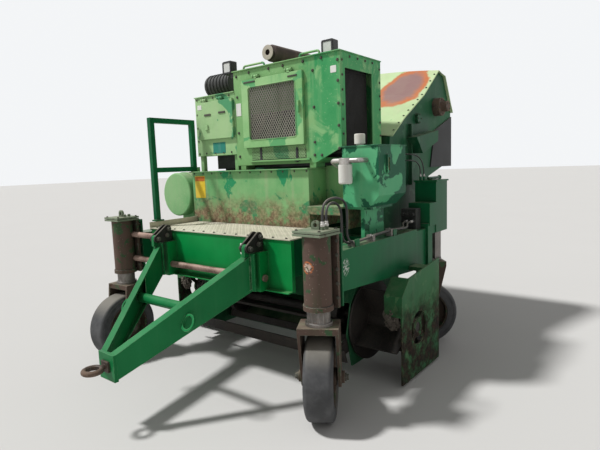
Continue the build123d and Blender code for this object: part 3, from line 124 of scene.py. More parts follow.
# Shading: one small helper that wires a material's nodes.
class Wiring:
    def __init__(self, name):
        self.material = bpy.data.materials.new(name)
        self.material.use_nodes = True
        self.tree = self.material.node_tree
        self.tree.nodes.clear()
        self.shader = self.add("ShaderNodeBsdfPrincipled")
        out = self.add("ShaderNodeOutputMaterial")
        self.tree.links.new(self.shader.outputs["BSDF"], out.inputs["Surface"])
        self.coords = self.add("ShaderNodeTexCoord")
        self.geometry = None
        self.split = None

    def add(self, kind, **settings):
        node = self.tree.nodes.new(kind)
        for key, value in settings.items():
            setattr(node, key, value)
        return node

    def feed(self, socket, value):
        if isinstance(value, bpy.types.NodeSocket):
            self.tree.links.new(value, socket)
        elif hasattr(socket.default_value, "__len__") and len(socket.default_value) == 4:
            socket.default_value = (*value[:3], 1.0)
        else:
            socket.default_value = value

    def mapped(self, stretch=(1, 1, 1), shift=(0, 0, 0)):
        node = self.add("ShaderNodeMapping")
        self.feed(node.inputs["Vector"], self.coords.outputs["Object"])
        node.inputs["Scale"].default_value = stretch
        node.inputs["Location"].default_value = shift
        return node.outputs["Vector"]

    def noise(self, scale, detail, roughness, stretch=(1, 1, 1), shift=(0, 0, 0), distortion=0.0):
        node = self.add("ShaderNodeTexNoise")
        self.feed(node.inputs["Vector"], self.mapped(stretch, shift))
        node.inputs["Scale"].default_value = scale
        node.inputs["Detail"].default_value = detail
        node.inputs["Roughness"].default_value = roughness
        node.inputs["Distortion"].default_value = distortion
        return node.outputs["Fac"]

    def cells(self, scale):
        node = self.add("ShaderNodeTexVoronoi", feature="F1")
        self.feed(node.inputs["Vector"], self.mapped())
        node.inputs["Scale"].default_value = scale
        return node.outputs["Distance"]

    def ramp(self, value, low, high, start=0.0, end=1.0):
        node = self.add("ShaderNodeMapRange", interpolation_type="SMOOTHSTEP")
        self.feed(node.inputs["Value"], value)
        node.inputs["From Min"].default_value = low
        node.inputs["From Max"].default_value = high
        node.inputs["To Min"].default_value = start
        node.inputs["To Max"].default_value = end
        return node.outputs["Result"]

    def sum(self, kind, a, b, c=None, clamp=True):
        node = self.add("ShaderNodeMath", operation=kind, use_clamp=clamp and kind in ("ADD", "MULTIPLY"))
        self.feed(node.inputs[0], a)
        self.feed(node.inputs[1], b)
        if c is not None:
            self.feed(node.inputs[2], c)
        return node.outputs[0]

    def mix(self, share, a, b):
        node = self.add("ShaderNodeMix", data_type="RGBA")
        self.feed(node.inputs["Factor"], share)
        self.feed(node.inputs[6], a)
        self.feed(node.inputs[7], b)
        return node.outputs[2]

    def laid(self, mask, share, under, over):
        # One colour laid over another by the mask times the share.
        return self.mix(self.sum("MULTIPLY", mask, share), under, over)

    def wandering(self, value, noise, amount):
        # The value, pushed up and down by the noise, by half the amount either way.
        return self.sum("ADD", value, self.sum("MULTIPLY_ADD", noise, amount, -amount / 2), clamp=False)

    def place(self, axis):
        if self.split is None:
            self.split = self.add("ShaderNodeSeparateXYZ")
            self.feed(self.split.inputs[0], self.coords.outputs["Object"])
        return self.split.outputs[axis]

    def facing(self, axis):
        if self.geometry is None:
            self.geometry = self.add("ShaderNodeSeparateXYZ")
            self.feed(self.geometry.inputs[0], self.coords.outputs["Normal"])
        return self.geometry.outputs[axis]

    def rounded(self, radius):
        # The surface's direction as if its edges were rounded, and how far that turns from the real one.
        node = self.add("ShaderNodeBevel", samples=4)
        node.inputs["Radius"].default_value = radius
        real = self.add("ShaderNodeNewGeometry")
        turn = self.add("ShaderNodeVectorMath", operation="DOT_PRODUCT")
        self.feed(turn.inputs[0], node.outputs["Normal"])
        self.feed(turn.inputs[1], real.outputs["Normal"])
        return node.outputs["Normal"], turn.outputs["Value"]

    def oval(self, middle, reach):
        # Distance from a middle point, as a share of the reach along each axis, with a wandering outline.
        node = self.add("ShaderNodeVectorMath", operation="SUBTRACT")
        self.feed(node.inputs[0], self.coords.outputs["Object"])
        node.inputs[1].default_value = middle
        share = self.add("ShaderNodeVectorMath", operation="DIVIDE")
        self.feed(share.inputs[0], node.outputs[0])
        share.inputs[1].default_value = reach
        size = self.add("ShaderNodeVectorMath", operation="LENGTH")
        self.feed(size.inputs[0], share.outputs[0])
        return self.wandering(size.outputs["Value"], self.noise(5.0, 5, 0.6), 0.7)

    def bump(self, height, strength, distance, under=None):
        node = self.add("ShaderNodeBump")
        node.inputs["Strength"].default_value = strength
        node.inputs["Distance"].default_value = distance
        self.feed(node.inputs["Height"], height)
        if under is not None:
            self.feed(node.inputs["Normal"], under)
        return node.outputs["Normal"]

    def finish(self, color, roughness, normal=None, metallic=0.0, specular=0.5):
        self.feed(self.shader.inputs["Base Color"], color)
        self.feed(self.shader.inputs["Roughness"], roughness)
        self.feed(self.shader.inputs["Metallic"], metallic)
        self.shader.inputs["Specular IOR Level"].default_value = specular
        if normal is not None:
            self.feed(self.shader.inputs["Normal"], normal)
        return self.material


# Weathered machine paint. Every amount runs from 0, none, to 1, everywhere. These are the usual values.
plainCoat = {
    "patchScale": 1.6, "streaks": 0.3, "peelScale": 3.4, "peelSoft": 0.025, "rust": 0.1,
    "rustDark": (0.075, 0.035, 0.018), "rustLight": (0.26, 0.115, 0.045), "edges": 0.5, "edgeWidth": 0.005,
    "edgeColor": (0.36, 0.42, 0.28), "dust": 0.6, "dustColor": (0.42, 0.37, 0.27), "grimeAndShade": 0.0,
    "grimeAndShadeColor": (0.03, 0.028, 0.022), "gloss": 0.42, "dents": 0.35, "shine": 0.14}


def weatheredPaint(name, look):
    look = {**plainCoat, **look}
    w = Wiring(name)
    broad = w.noise(look["patchScale"], 5, 0.6)
    streaks = w.noise(3.0, 5, 0.6, stretch=(5.0, 5.0, 0.35))
    grain = w.noise(90.0, 3, 0.6)
    chips = w.noise(26.0, 8, 0.66)
    blotches = w.noise(4.5, 7, 0.62, shift=(3, 1, 2))
    color = w.mix(w.ramp(broad, 0.36, 0.66), look["paint"], look["faded"])
    color = w.laid(w.ramp(streaks, 0.5, 0.72), look["streaks"], color, look["streakColor"])
    color = w.laid(w.ramp(grain, 0.3, 0.75), 0.25, color, look["faded"])
    # Older paint of another shade shows where the top coat has peeled.
    if "peel" in look:
        shade, amount = look["peel"]
        peeled = w.noise(look["peelScale"], 7, 0.58, shift=(7, 2, 5), distortion=0.5)
        edge = 0.66 - 0.3 * amount
        color = w.mix(w.ramp(peeled, edge, edge + look["peelSoft"]), color, shade)
    # One side is bleached: from the first place along x to the second, with a wandering border.
    if "sideFade" in look:
        bleached, plain, shade = look["sideFade"]
        along = w.wandering(w.place(0), w.noise(6.0, 5, 0.6, shift=(2, 4, 9)), 0.5)
        color = w.mix(w.ramp(along, bleached, plain, 0.8, 0.0), color, shade)
    # Another coat starts at a height.
    if "topCoat" in look:
        height, shade = look["topCoat"]
        color = w.laid(w.ramp(w.place(2), height, height + 0.004), w.ramp(chips, 0.30, 0.45), color, shade)
    if "speckle" in look:
        dots = w.ramp(w.cells(46.0), 0.10, 0.22, 1.0, 0.0)
        where = w.ramp(w.noise(5.0, 5, 0.6, shift=(1, 8, 3)), 0.40, 0.62)
        color = w.laid(dots, where, color, look["speckle"])
    # Rust: blotches where the paint is gone, small chips near them, and more of it low down.
    bare = 1.0 - look["rust"]
    gone = w.ramp(blotches, 0.46 + 0.3 * bare, 0.52 + 0.3 * bare)
    near = w.ramp(blotches, 0.34 + 0.26 * bare, 0.60 + 0.26 * bare)
    mask = w.sum("MAXIMUM", gone, w.sum("MULTIPLY", w.ramp(chips, 0.60, 0.66), near))
    if "lowRust" in look:
        low, high, amount = look["lowRust"]
        height = w.wandering(w.place(2), w.noise(7.0, 6, 0.65), 0.36)
        broken = w.ramp(w.noise(11.0, 7, 0.7), 0.30, 0.56)
        mask = w.sum("MAXIMUM", mask, w.sum("MULTIPLY", w.ramp(height, low, high, amount, 0.0), broken))
    rusty = w.mix(w.ramp(w.noise(38.0, 6, 0.7), 0.35, 0.7), look["rustDark"], look["rustLight"])
    color = w.mix(mask, color, rusty)
    # A bare patch with a ring round it, whole or broken up into specks.
    if "barePatch" in look:
        patch = look["barePatch"]
        away = w.oval(patch["middle"], patch["reach"])
        start = 0.5 * patch.get("broken", 0.0)
        whole = w.ramp(w.noise(70.0, 6, 0.7), start, start + 0.08)
        color = w.laid(w.ramp(away, 0.86, 1.0, 1.0, 0.0), whole, color, patch["ring"])
        color = w.laid(w.ramp(away, 0.55, 0.80, 1.0, 0.0), whole, color, patch["inside"])
    # Edges are rubbed down to a paler shade, broken up by the chips.
    soft, turn = w.rounded(look["edgeWidth"])
    rubbed = w.sum("MULTIPLY", w.ramp(turn, 0.82, 0.985, 1.0, 0.0), w.ramp(chips, 0.36, 0.6))
    color = w.laid(rubbed, look["edges"], color, look["edgeColor"])
    # Dust lies on what faces up; corners found by ambient occlusion are darkened: grime, and painted shade.
    dust = w.sum("MULTIPLY", w.ramp(w.facing(2), 0.55, 0.95), w.ramp(w.noise(6.0, 6, 0.6), 0.28, 0.72))
    color = w.laid(dust, look["dust"], color, look["dustColor"])
    if look["grimeAndShade"] > 0:
        # The occlusion darkening stands for the shade in hollows as well as for grime: painted shade.
        hollow = w.add("ShaderNodeAmbientOcclusion", samples=4)
        hollow.inputs["Distance"].default_value = 0.12
        dark = w.ramp(hollow.outputs["AO"], 0.25, 0.85, 1.0, 0.0)
        color = w.laid(dark, look["grimeAndShade"], color, look["grimeAndShadeColor"])
    gloss = w.ramp(broad, 0.3, 0.7, look["gloss"], look["gloss"] + 0.2)
    roughness = w.sum("ADD", gloss, w.sum("MULTIPLY", mask, 0.35))
    dents = w.bump(w.noise(2.6, 2, 0.4), look["dents"], 0.02, soft)
    normal = w.bump(w.sum("SUBTRACT", w.sum("MULTIPLY", grain, 0.5), mask), 0.35, 0.0012, dents)
    return w.finish(color, roughness, normal, specular=look["shine"])


# Steel that was rubbed, sooted or rusted: two shades, specks, and scratches along one way.
plainSteel = {"patchScale": 5.0, "scratch": (30.0, 30.0, 1.2), "bright": 0.3, "gloss": 0.5}


def wornSteel(name, look):
    look = {**plainSteel, **look}
    w = Wiring(name)
    broad = w.noise(look["patchScale"], 7, 0.62)
    fine = w.noise(70.0, 5, 0.65)
    scratches = w.noise(9.0, 4, 0.6, stretch=look["scratch"])
    color = w.mix(w.ramp(broad, 0.36, 0.64), look["dark"], look["light"])
    color = w.laid(w.ramp(fine, 0.45, 0.75), 0.5, color, look["speck"])
    color = w.laid(w.ramp(scratches, 0.55, 0.7), look["bright"], color, look["scratchColor"])
    soft, turn = w.rounded(0.003)
    color = w.mix(w.ramp(turn, 0.82, 0.985, 0.45, 0.0), color, look["scratchColor"])
    normal = w.bump(fine, 0.5, 0.0012, w.bump(broad, 0.3, 0.006, soft))
    roughness = w.ramp(broad, 0.3, 0.7, look["gloss"], look["gloss"] + 0.3)
    return w.finish(color, roughness, normal, look["metal"])


# Rubber, plastic and glass with a light dusting and a fine grain.
softSkin = {"patchScale": 6.0, "grainScale": 160.0, "dustColor": (0.40, 0.36, 0.28)}


def plainSkin(name, look):
    look = {**softSkin, **look}
    w = Wiring(name)
    broad = w.noise(look["patchScale"], 5, 0.6)
    fine = w.noise(look["grainScale"], 3, 0.6)
    color = w.mix(w.ramp(broad, 0.35, 0.7), look["color"], look["worn"])
    color = w.laid(w.ramp(w.facing(2), 0.4, 0.95), look["dust"], color, look["dustColor"])
    roughness = w.ramp(broad, 0.3, 0.7, look["gloss"], min(1.0, look["gloss"] + 0.15))
    return w.finish(color, roughness, w.bump(fine, look["grain"], 0.0008))


# Beside the usual values: peel is a shade and an amount, sideFade two places along x and a shade, topCoat a
# height and a shade, and lowRust the heights of full and of no rust, and an amount.
paints = {
    "housingPaint": {
        "paint": (0.035, 0.30, 0.10), "faded": (0.10, 0.41, 0.155), "streakColor": (0.28, 0.50, 0.23),
        "streaks": 0.6, "peel": ((0.25, 0.52, 0.225), 0.40), "peelScale": 5.0, "peelSoft": 0.11,
        "sideFade": (0.40, 0.56, (0.27, 0.49, 0.20)), "speckle": (0.36, 0.56, 0.30), "rust": 0.09,
        "grimeAndShade": 0.5, "gloss": 0.36, "dents": 0.5, "edgeColor": (0.40, 0.55, 0.30)},
    "doorPaint": {
        "paint": (0.22, 0.50, 0.19), "faded": (0.40, 0.66, 0.31), "streakColor": (0.10, 0.38, 0.15),
        "streaks": 0.35, "peel": ((0.14, 0.44, 0.18), 0.42), "rust": 0.09, "dust": 0.4, "grimeAndShade": 0.4,
        "dents": 0.3, "edgeColor": (0.52, 0.70, 0.38)},
    "cabinetPaint": {
        "paint": (0.23, 0.48, 0.20), "faded": (0.42, 0.64, 0.32), "streakColor": (0.46, 0.62, 0.36),
        "streaks": 0.4, "peel": ((0.10, 0.36, 0.17), 0.30), "rust": 0.12, "dust": 0.5, "grimeAndShade": 0.45,
        "gloss": 0.45, "dents": 0.4, "edgeColor": (0.54, 0.68, 0.42)},
    "brightPaint": {
        "paint": (0.002, 0.215, 0.046), "faded": (0.004, 0.29, 0.064), "streakColor": (0.02, 0.28, 0.08),
        "rust": 0.05, "dust": 0.2, "grimeAndShade": 0.5, "gloss": 0.26, "dents": 0.25,
        "edgeColor": (0.10, 0.38, 0.16)},
    "tonguePaint": {
        "paint": (0.005, 0.155, 0.042), "faded": (0.012, 0.20, 0.060), "streakColor": (0.05, 0.24, 0.09),
        "streaks": 0.25, "rust": 0.07, "dust": 0.14, "grimeAndShade": 0.4, "gloss": 0.25, "dents": 0.2,
        "dustColor": (0.20, 0.36, 0.19), "edgeColor": (0.24, 0.50, 0.26), "edges": 0.9},
    "tankPaint": {
        "paint": (0.10, 0.37, 0.13), "faded": (0.26, 0.50, 0.22), "streakColor": (0.38, 0.48, 0.27),
        "streaks": 0.55, "peel": ((0.03, 0.29, 0.12), 0.42), "speckle": (0.33, 0.42, 0.22), "rust": 0.13,
        "dust": 0.7, "grimeAndShade": 0.5, "dents": 0.5, "lowRust": (1.18, 1.44, 0.95),
        "rustLight": (0.42, 0.30, 0.19), "rustDark": (0.15, 0.085, 0.055),
        "edgeColor": (0.44, 0.54, 0.32)},
    # The frame's green is darker than the other greens: partly its own paint, partly painted shade of the
    # arms' sides.
    "frameShadedPaint": {
        "paint": (0.003, 0.095, 0.034), "faded": (0.008, 0.14, 0.050), "streakColor": (0.03, 0.16, 0.07),
        "barePatch": {"middle": (1.112, -0.647, 0.958), "reach": (0.030, 0.040, 0.058), "broken": 0.98,
                      "ring": (0.42, 0.50, 0.42), "inside": (0.60, 0.64, 0.58)},
        "streaks": 0.25, "rust": 0.08, "dust": 0.5, "grimeAndShade": 0.5, "gloss": 0.28, "dents": 0.2,
        "edgeColor": (0.16, 0.34, 0.17), "edges": 0.7},
    "hoodPaint": {
        "paint": (0.50, 0.67, 0.35), "faded": (0.61, 0.75, 0.44), "streakColor": (0.62, 0.66, 0.40),
        "streaks": 0.5, "peel": ((0.30, 0.54, 0.25), 0.14), "dust": 0.25, "grimeAndShade": 0.2, "gloss": 0.45,
        "dents": 0.5, "edgeColor": (0.62, 0.74, 0.46),
        "barePatch": {"middle": (0.605, 1.19, 2.29), "reach": (0.235, 0.36, 0.60),
                      "ring": (0.56, 0.17, 0.060), "inside": (0.30, 0.175, 0.165)}},
    "fuelPaint": {
        "paint": (0.14, 0.40, 0.15), "faded": (0.30, 0.54, 0.25), "streakColor": (0.36, 0.50, 0.28),
        "speckle": (0.42, 0.55, 0.30), "rust": 0.12, "grimeAndShade": 0.3, "gloss": 0.45, "dents": 0.3},
    "oilPaint": {
        "paint": (0.055, 0.38, 0.17), "faded": (0.13, 0.45, 0.22), "streakColor": (0.20, 0.46, 0.24),
        "peel": ((0.010, 0.105, 0.050), 0.56), "peelScale": 4.5, "rust": 0.06, "dust": 0.5, "grimeAndShade": 0.4,
        "gloss": 0.32, "dents": 0.25, "edgeColor": (0.20, 0.50, 0.26)},
    "columnPaint": {
        "paint": (0.062, 0.042, 0.032), "faded": (0.115, 0.076, 0.060),
        "topCoat": (1.186, (0.20, 0.25, 0.17)), "streakColor": (0.055, 0.075, 0.040), "streaks": 0.7,
        "peel": ((0.050, 0.095, 0.045), 0.30), "peelScale": 11.0, "rust": 0.50, "dust": 0.5,
        "grimeAndShade": 0.5, "gloss": 0.5, "dents": 0.2, "rustDark": (0.040, 0.024, 0.018),
        "speckle": (0.20, 0.15, 0.12), "rustLight": (0.16, 0.080, 0.050),
        "edgeColor": (0.40, 0.42, 0.32), "edges": 0.9,
        "barePatch": {"middle": (1.037, -0.945, 1.003), "reach": (0.045, 0.030, 0.040), "broken": 0.9,
                      "ring": (0.50, 0.15, 0.05), "inside": (0.52, 0.42, 0.34)}},
    "knucklePaint": {
        "paint": (0.020, 0.020, 0.018), "faded": (0.045, 0.044, 0.040),
        "streakColor": (0.07, 0.06, 0.05), "streaks": 0.4, "rust": 0.16, "dust": 0.5, "grimeAndShade": 0.4,
        "dents": 0.1, "edgeColor": (0.28, 0.26, 0.23)},
    "bootPaint": {
        "paint": (0.016, 0.115, 0.040), "faded": (0.045, 0.17, 0.065), "streakColor": (0.12, 0.17, 0.10),
        "streaks": 0.4, "peel": ((0.07, 0.18, 0.075), 0.26), "peelScale": 8.0, "rust": 0.16, "dust": 0.4,
        "grimeAndShade": 0.5, "gloss": 0.4, "dents": 0.6, "lowRust": (0.40, 0.72, 1.0),
        "rustDark": (0.012, 0.010, 0.009), "rustLight": (0.055, 0.034, 0.024),
        "edgeColor": (0.30, 0.34, 0.22), "edges": 0.8},
    "deckPaint": {
        "paint": (0.52, 0.48, 0.37), "faded": (0.70, 0.66, 0.54), "streakColor": (0.30, 0.38, 0.24),
        "rust": 0.12, "dust": 0.4, "dustColor": (0.66, 0.61, 0.48), "grimeAndShade": 0.4, "gloss": 0.6,
        "dents": 0.1, "edgeColor": (0.10, 0.34, 0.15)},
    "elevatorPaint": {
        "paint": (0.008, 0.075, 0.032), "faded": (0.022, 0.12, 0.05), "streakColor": (0.07, 0.15, 0.08),
        "streaks": 0.5, "peel": ((0.035, 0.13, 0.062), 0.20), "peelScale": 6.0, "rust": 0.14,
        "dust": 0.5, "grimeAndShade": 0.5, "gloss": 0.36, "dents": 0.5, "edgeColor": (0.20, 0.32, 0.17)},
    "whitePaint": {
        "paint": (0.70, 0.69, 0.64), "faded": (0.80, 0.79, 0.75), "streakColor": (0.48, 0.44, 0.36),
        "streaks": 0.4, "rust": 0.02, "dust": 0.4, "grimeAndShade": 0.3, "gloss": 0.35, "dents": 0.05,
        "edgeColor": (0.85, 0.84, 0.80)},
    "mufflerPaint": {
        "paint": (0.070, 0.055, 0.050), "faded": (0.13, 0.10, 0.09), "streakColor": (0.22, 0.15, 0.11),
        "streaks": 0.5, "rust": 0.35, "dust": 0.4, "grimeAndShade": 0.3, "gloss": 0.7, "dents": 0.2},
    "boltPaint": {
        "paint": (0.055, 0.060, 0.048), "faded": (0.11, 0.11, 0.09), "streakColor": (0.14, 0.10, 0.07),
        "streaks": 0.4, "rust": 0.3, "dust": 0.4, "grimeAndShade": 0.3, "gloss": 0.5, "dents": 0.0,
        "edgeColor": (0.34, 0.32, 0.28), "edgeWidth": 0.002},
    "meshMetal": {
        "paint": (0.34, 0.33, 0.28), "faded": (0.50, 0.48, 0.41), "streakColor": (0.22, 0.30, 0.17),
        "streaks": 0.4, "rust": 0.18, "dust": 0.2, "gloss": 0.55, "dents": 0.0, "edgeWidth": 0.001},
    "signYellow": {
        "paint": (0.80, 0.56, 0.030), "faded": (0.86, 0.66, 0.12), "streakColor": (0.70, 0.50, 0.16),
        "rust": 0.03, "dust": 0.2, "gloss": 0.5, "dents": 0.0, "edgeColor": (0.9, 0.8, 0.5)},
    "signOrange": {
        "paint": (0.55, 0.14, 0.020), "faded": (0.62, 0.22, 0.06), "streakColor": (0.50, 0.26, 0.10),
        "rust": 0.03, "dust": 0.2, "gloss": 0.5, "dents": 0.0, "edgeColor": (0.8, 0.5, 0.3)},
    "signWhite": {
        "paint": (0.78, 0.78, 0.74), "faded": (0.84, 0.84, 0.80), "streakColor": (0.60, 0.60, 0.54),
        "streaks": 0.5, "rust": 0.02, "dust": 0.2, "gloss": 0.5, "dents": 0.0,
        "edgeColor": (0.9, 0.9, 0.86)},
    "discPaint": {
        "paint": (0.46, 0.41, 0.34), "faded": (0.58, 0.53, 0.46), "streakColor": (0.30, 0.22, 0.16),
        "streaks": 0.4, "rust": 0.15, "dust": 0.2, "grimeAndShade": 0.4, "gloss": 0.6, "dents": 0.1,
        "edgeColor": (0.40, 0.30, 0.22)},
    "signTeal": {
        "paint": (0.010, 0.20, 0.155), "faded": (0.05, 0.28, 0.22), "streakColor": (0.20, 0.36, 0.32),
        "streaks": 0.4, "rust": 0.04, "dust": 0.2, "gloss": 0.45, "dents": 0.0,
        "edgeColor": (0.4, 0.5, 0.45)},
    "asphaltCake": {
        "paint": (0.085, 0.072, 0.060), "faded": (0.15, 0.13, 0.11), "streakColor": (0.20, 0.17, 0.14),
        "streaks": 0.4, "dust": 0.35, "gloss": 0.75, "dents": 0.6, "edges": 0.1},
}
steels = {
    "rustySteel": {
        "dark": (0.045, 0.032, 0.025), "light": (0.15, 0.10, 0.07), "speck": (0.22, 0.13, 0.08),
        "scratchColor": (0.30, 0.27, 0.24), "bright": 0.35, "gloss": 0.55, "metal": 0.35},
    "sootySteel": {
        "dark": (0.010, 0.009, 0.008), "light": (0.038, 0.032, 0.027), "speck": (0.075, 0.055, 0.042),
        "scratchColor": (0.14, 0.12, 0.10), "gloss": 0.55, "metal": 0.3},
    "bareSteel": {
        "dark": (0.30, 0.285, 0.27), "light": (0.55, 0.53, 0.50), "speck": (0.34, 0.25, 0.19),
        "scratchColor": (0.72, 0.71, 0.69), "bright": 0.4, "gloss": 0.34, "metal": 0.8},
    "shaftSteel": {
        "dark": (0.17, 0.10, 0.075), "light": (0.36, 0.25, 0.20), "speck": (0.42, 0.32, 0.27),
        "scratchColor": (0.55, 0.48, 0.42), "gloss": 0.45, "metal": 0.45},
    "tubeSteel": {
        "dark": (0.12, 0.11, 0.10), "light": (0.26, 0.24, 0.22), "speck": (0.16, 0.10, 0.07),
        "scratchColor": (0.5, 0.49, 0.47), "bright": 0.5, "gloss": 0.38, "metal": 0.7},
    "castMetal": {
        "dark": (0.016, 0.018, 0.017), "light": (0.045, 0.048, 0.045), "speck": (0.08, 0.07, 0.06),
        "scratchColor": (0.2, 0.19, 0.18), "bright": 0.2, "metal": 0.3},
    "coreMetal": {
        "dark": (0.010, 0.010, 0.010), "light": (0.030, 0.029, 0.027), "speck": (0.055, 0.050, 0.040),
        "scratchColor": (0.08, 0.075, 0.07), "gloss": 0.55, "metal": 0.4},
}
skins = {
    "lensGlass": {
        "color": (0.62, 0.64, 0.62), "worn": (0.74, 0.74, 0.70), "gloss": 0.12, "grain": 0.1,
        "dust": 0.1, "grainScale": 260.0},
    "gaugeGlass": {
        "color": (0.42, 0.36, 0.16), "worn": (0.55, 0.50, 0.30), "gloss": 0.12, "grain": 0.0,
        "dust": 0.1},
    "solidTyre": {
        "color": (0.034, 0.035, 0.037), "worn": (0.082, 0.083, 0.085), "gloss": 0.66, "grain": 0.6,
        "dust": 0.35, "patchScale": 9.0},
    "blackRubber": {
        "color": (0.012, 0.013, 0.014), "worn": (0.032, 0.032, 0.032), "gloss": 0.6, "grain": 0.4,
        "dust": 0.3},
    "hoseRubber": {
        "color": (0.014, 0.014, 0.015), "worn": (0.05, 0.048, 0.045), "gloss": 0.5, "grain": 0.5,
        "dust": 0.4},
    "lampShell": {
        "color": (0.012, 0.012, 0.013), "worn": (0.03, 0.03, 0.03), "gloss": 0.4, "grain": 0.2,
        "dust": 0.4},
    "whitePlastic": {
        "color": (0.72, 0.71, 0.66), "worn": (0.60, 0.57, 0.50), "gloss": 0.45, "grain": 0.15,
        "dust": 0.2},
}
finishes = {}
for looks, make in ((paints, weatheredPaint), (steels, wornSteel), (skins, plainSkin)):
    for name, look in looks.items():
        finishes[name] = make(name, look)
print("finishes made:", len(finishes))

# Which nodes wear each finish; the rest are castMetal.
finishNodes = {
    "frameShadedPaint": "main_frame arm_left arm_right handrail", "brightPaint": "front_plate",
    "deckPaint": "deck", "shaftSteel": "cross_shafts", "knucklePaint": "hinge_knuckles",
    "columnPaint": "leg_column_front_left leg_column_front_right", "tankPaint": "front_tank",
    "fuelPaint": "fuel_tank", "oilPaint": "oil_tank", "whitePlastic": "breather_cap",
    "whitePaint": "oil_filter", "bareSteel": "filter_head", "housingPaint": "radiator_housing",
    "coreMetal": "radiator_core",
    "cabinetPaint": "control_cabinet cabinet_door grab_rods", "mufflerPaint": "muffler",
    "lampShell": "work_lamps", "elevatorPaint": "elevator_housing", "hoodPaint": "elevator_hood",
    "blackRubber": "discharge_curtain", "sootySteel": "slat_chain pickup_drum intake_blade",
    "rustySteel": "head_shaft tow_ring", "bootPaint": "side_plate_left side_plate_right",
    "tonguePaint": "tongue", "doorPaint": "grille_door",
}
nodeFinish = {node: finish for finish, group in finishNodes.items() for node in group.split()}
for corner in ("front_left", "front_right", "rear_left", "rear_right"):
    nodeFinish["leg_tube_" + corner] = "tubeSteel"
    nodeFinish["fork_" + corner] = "columnPaint"
    nodeFinish["wheel_" + corner] = "columnPaint"
    nodeFinish["tyre_" + corner] = "solidTyre"
for name, piece in nodes.items():
    piece.data.materials.clear()
    piece.data.materials.append(finishes[nodeFinish.get(name, "castMetal")])
for hose in hoses:
    hose.data.materials.append(finishes["hoseRubber"])
print("nodes dressed")


# Shape helpers. A shape is its corners, n by 3, and its faces, lists of corner numbers.
def bridged(loops, closed=False):
    # Quads join each loop of corners to the next; the ends are capped, or joined when closed.
    loops = np.asarray(loops, float)
    count, size = loops.shape[:2]
    here = np.arange(size)
    ahead = (here + 1) % size
    faces = []
    for k in range(count if closed else count - 1):
        a, b = k * size, ((k + 1) % count) * size
        faces += np.stack([a + here, a + ahead, b + ahead, b + here], 1).tolist()
    if not closed:
        faces += [here[::-1].tolist(), ((count - 1) * size + here).tolist()]
    return loops.reshape(-1, 3), faces


def boxShape(low, high):
    # The low rectangle is joined to the same one at the high end.
    base = [(low[0], low[1]), (high[0], low[1]), (high[0], high[1]), (low[0], high[1])]
    return bridged([[(x, y, z) for x, y in base] for z in (low[2], high[2])])


def across(way):
    # The way itself, a direction square to it, and the one square to both.
    way = unit(way)
    side = unit(np.cross((0, 0, 1) if abs(way[2]) < 0.9 else (1, 0, 0), way))
    return way, side, np.cross(way, side)


def turnedShape(base, way, profile, sides=12, closed=False):
    # Ring k is base + along_k * way + radius_k * (cos t * side + sin t * up), t even round the circle.
    way, side, up = across(way)
    t = np.arange(sides) * 2 * math.pi / sides
    circle = np.cos(t)[:, None] * side + np.sin(t)[:, None] * up
    return bridged([np.asarray(base) + along * way + radius * circle for along, radius in profile], closed)


def boltShape(place, way, size):
    # A round washer with a six-sided head on it, its rim chamfered.
    place = np.asarray(place) - 0.0006 * unit(way)
    washer = 0.20 * size
    corners, faces = turnedShape(place, way, [(0, size), (washer, size)], 12)
    profile = [(-0.0004, 0.74 * size), (0.50 * size, 0.74 * size), (0.60 * size, 0.60 * size)]
    head, headFaces = turnedShape(place + washer * unit(way), way, profile, 6)
    return np.vstack([corners, head]), faces + [[i + len(corners) for i in face] for face in headFaces]


def roundedLoop(width, height, corner, steps=4):
    # Four quarter circles of the corner radius, one after another.
    t = np.linspace(0, math.pi / 2, steps)
    loop = []
    for k, (a, b) in enumerate(((1, 1), (-1, 1), (-1, -1), (1, -1))):
        turn = t + k * math.pi / 2
        loop.append(np.stack([a * (width / 2 - corner) + corner * np.cos(turn),
                              b * (height / 2 - corner) + corner * np.sin(turn)], 1))
    return np.concatenate(loop)


def plateLoop(center, right, up, width, height, corner):
    # The flat loop laid in space: center + x * right + y * up.
    flat = roundedLoop(width, height, corner)
    return np.asarray(center) + flat[:, :1] * unit(right) + flat[:, 1:] * unit(up)


def plateShape(center, right, up, width, height, corner=0.003, thick=0.0016):
    # A rounded rectangle, pushed out along right x up, with a small chamfer round its face.
    center = np.asarray(center)
    out = np.cross(unit(right), unit(up))
    inset = min(0.3 * thick, 0.002)
    levels = ((0, 0), (thick - inset, 0), (thick, 2 * inset))
    return bridged([plateLoop(center + rise * out, right, up, width - less, height - less, corner)
                    for rise, less in levels])


def frameShape(center, right, up, outer, inner, corners, thick, shift=(0, 0, 0)):
    # Four loops in a closed round: outer front, inner front, inner back, outer back. Shift moves the hole.
    out = thick * np.cross(unit(right), unit(up))
    center = np.asarray(center)
    hole = center + shift
    return bridged([plateLoop(center + out, right, up, *outer, corners[0]),
                    plateLoop(hole + out, right, up, *inner, corners[1]),
                    plateLoop(hole, right, up, *inner, corners[1]),
                    plateLoop(center, right, up, *outer, corners[0])], closed=True)


def meshShapes(low, high, look):
    # Two families of straight bars, x = x0 + lean * (z - low z), cut where they leave the opening.
    pitch, bar = look["pitch"], look["bar"]
    height = high[1] - low[1]
    shapes = []
    for family, lean in enumerate((pitch[0] / pitch[1], -pitch[0] / pitch[1])):
        run = abs(lean) * height
        first = low[0] - (run if lean > 0 else 0) + 0.5 * pitch[0]
        y = look["y"] + 0.0007 * family
        off = 0.5 * bar * np.array((1.0, 0.0, -lean)) / math.hypot(1.0, lean)
        deep = np.array((0.0, 0.5 * bar, 0.0))
        for x0 in np.arange(first, high[0] + (0 if lean > 0 else run), pitch[0]):
            cuts = sorted(((low[0] - x0) / lean, (high[0] - x0) / lean))
            a, b = max(0.0, cuts[0]), min(height, cuts[1])
            if b - a < 0.003:
                continue
            ends = np.array([(x0 + lean * a, y, low[1] + a), (x0 + lean * b, y, low[1] + b)])
            shapes.append(bridged([[end - off - deep, end + off - deep, end + off + deep, end - off + deep]
                                   for end in ends]))
    return shapes


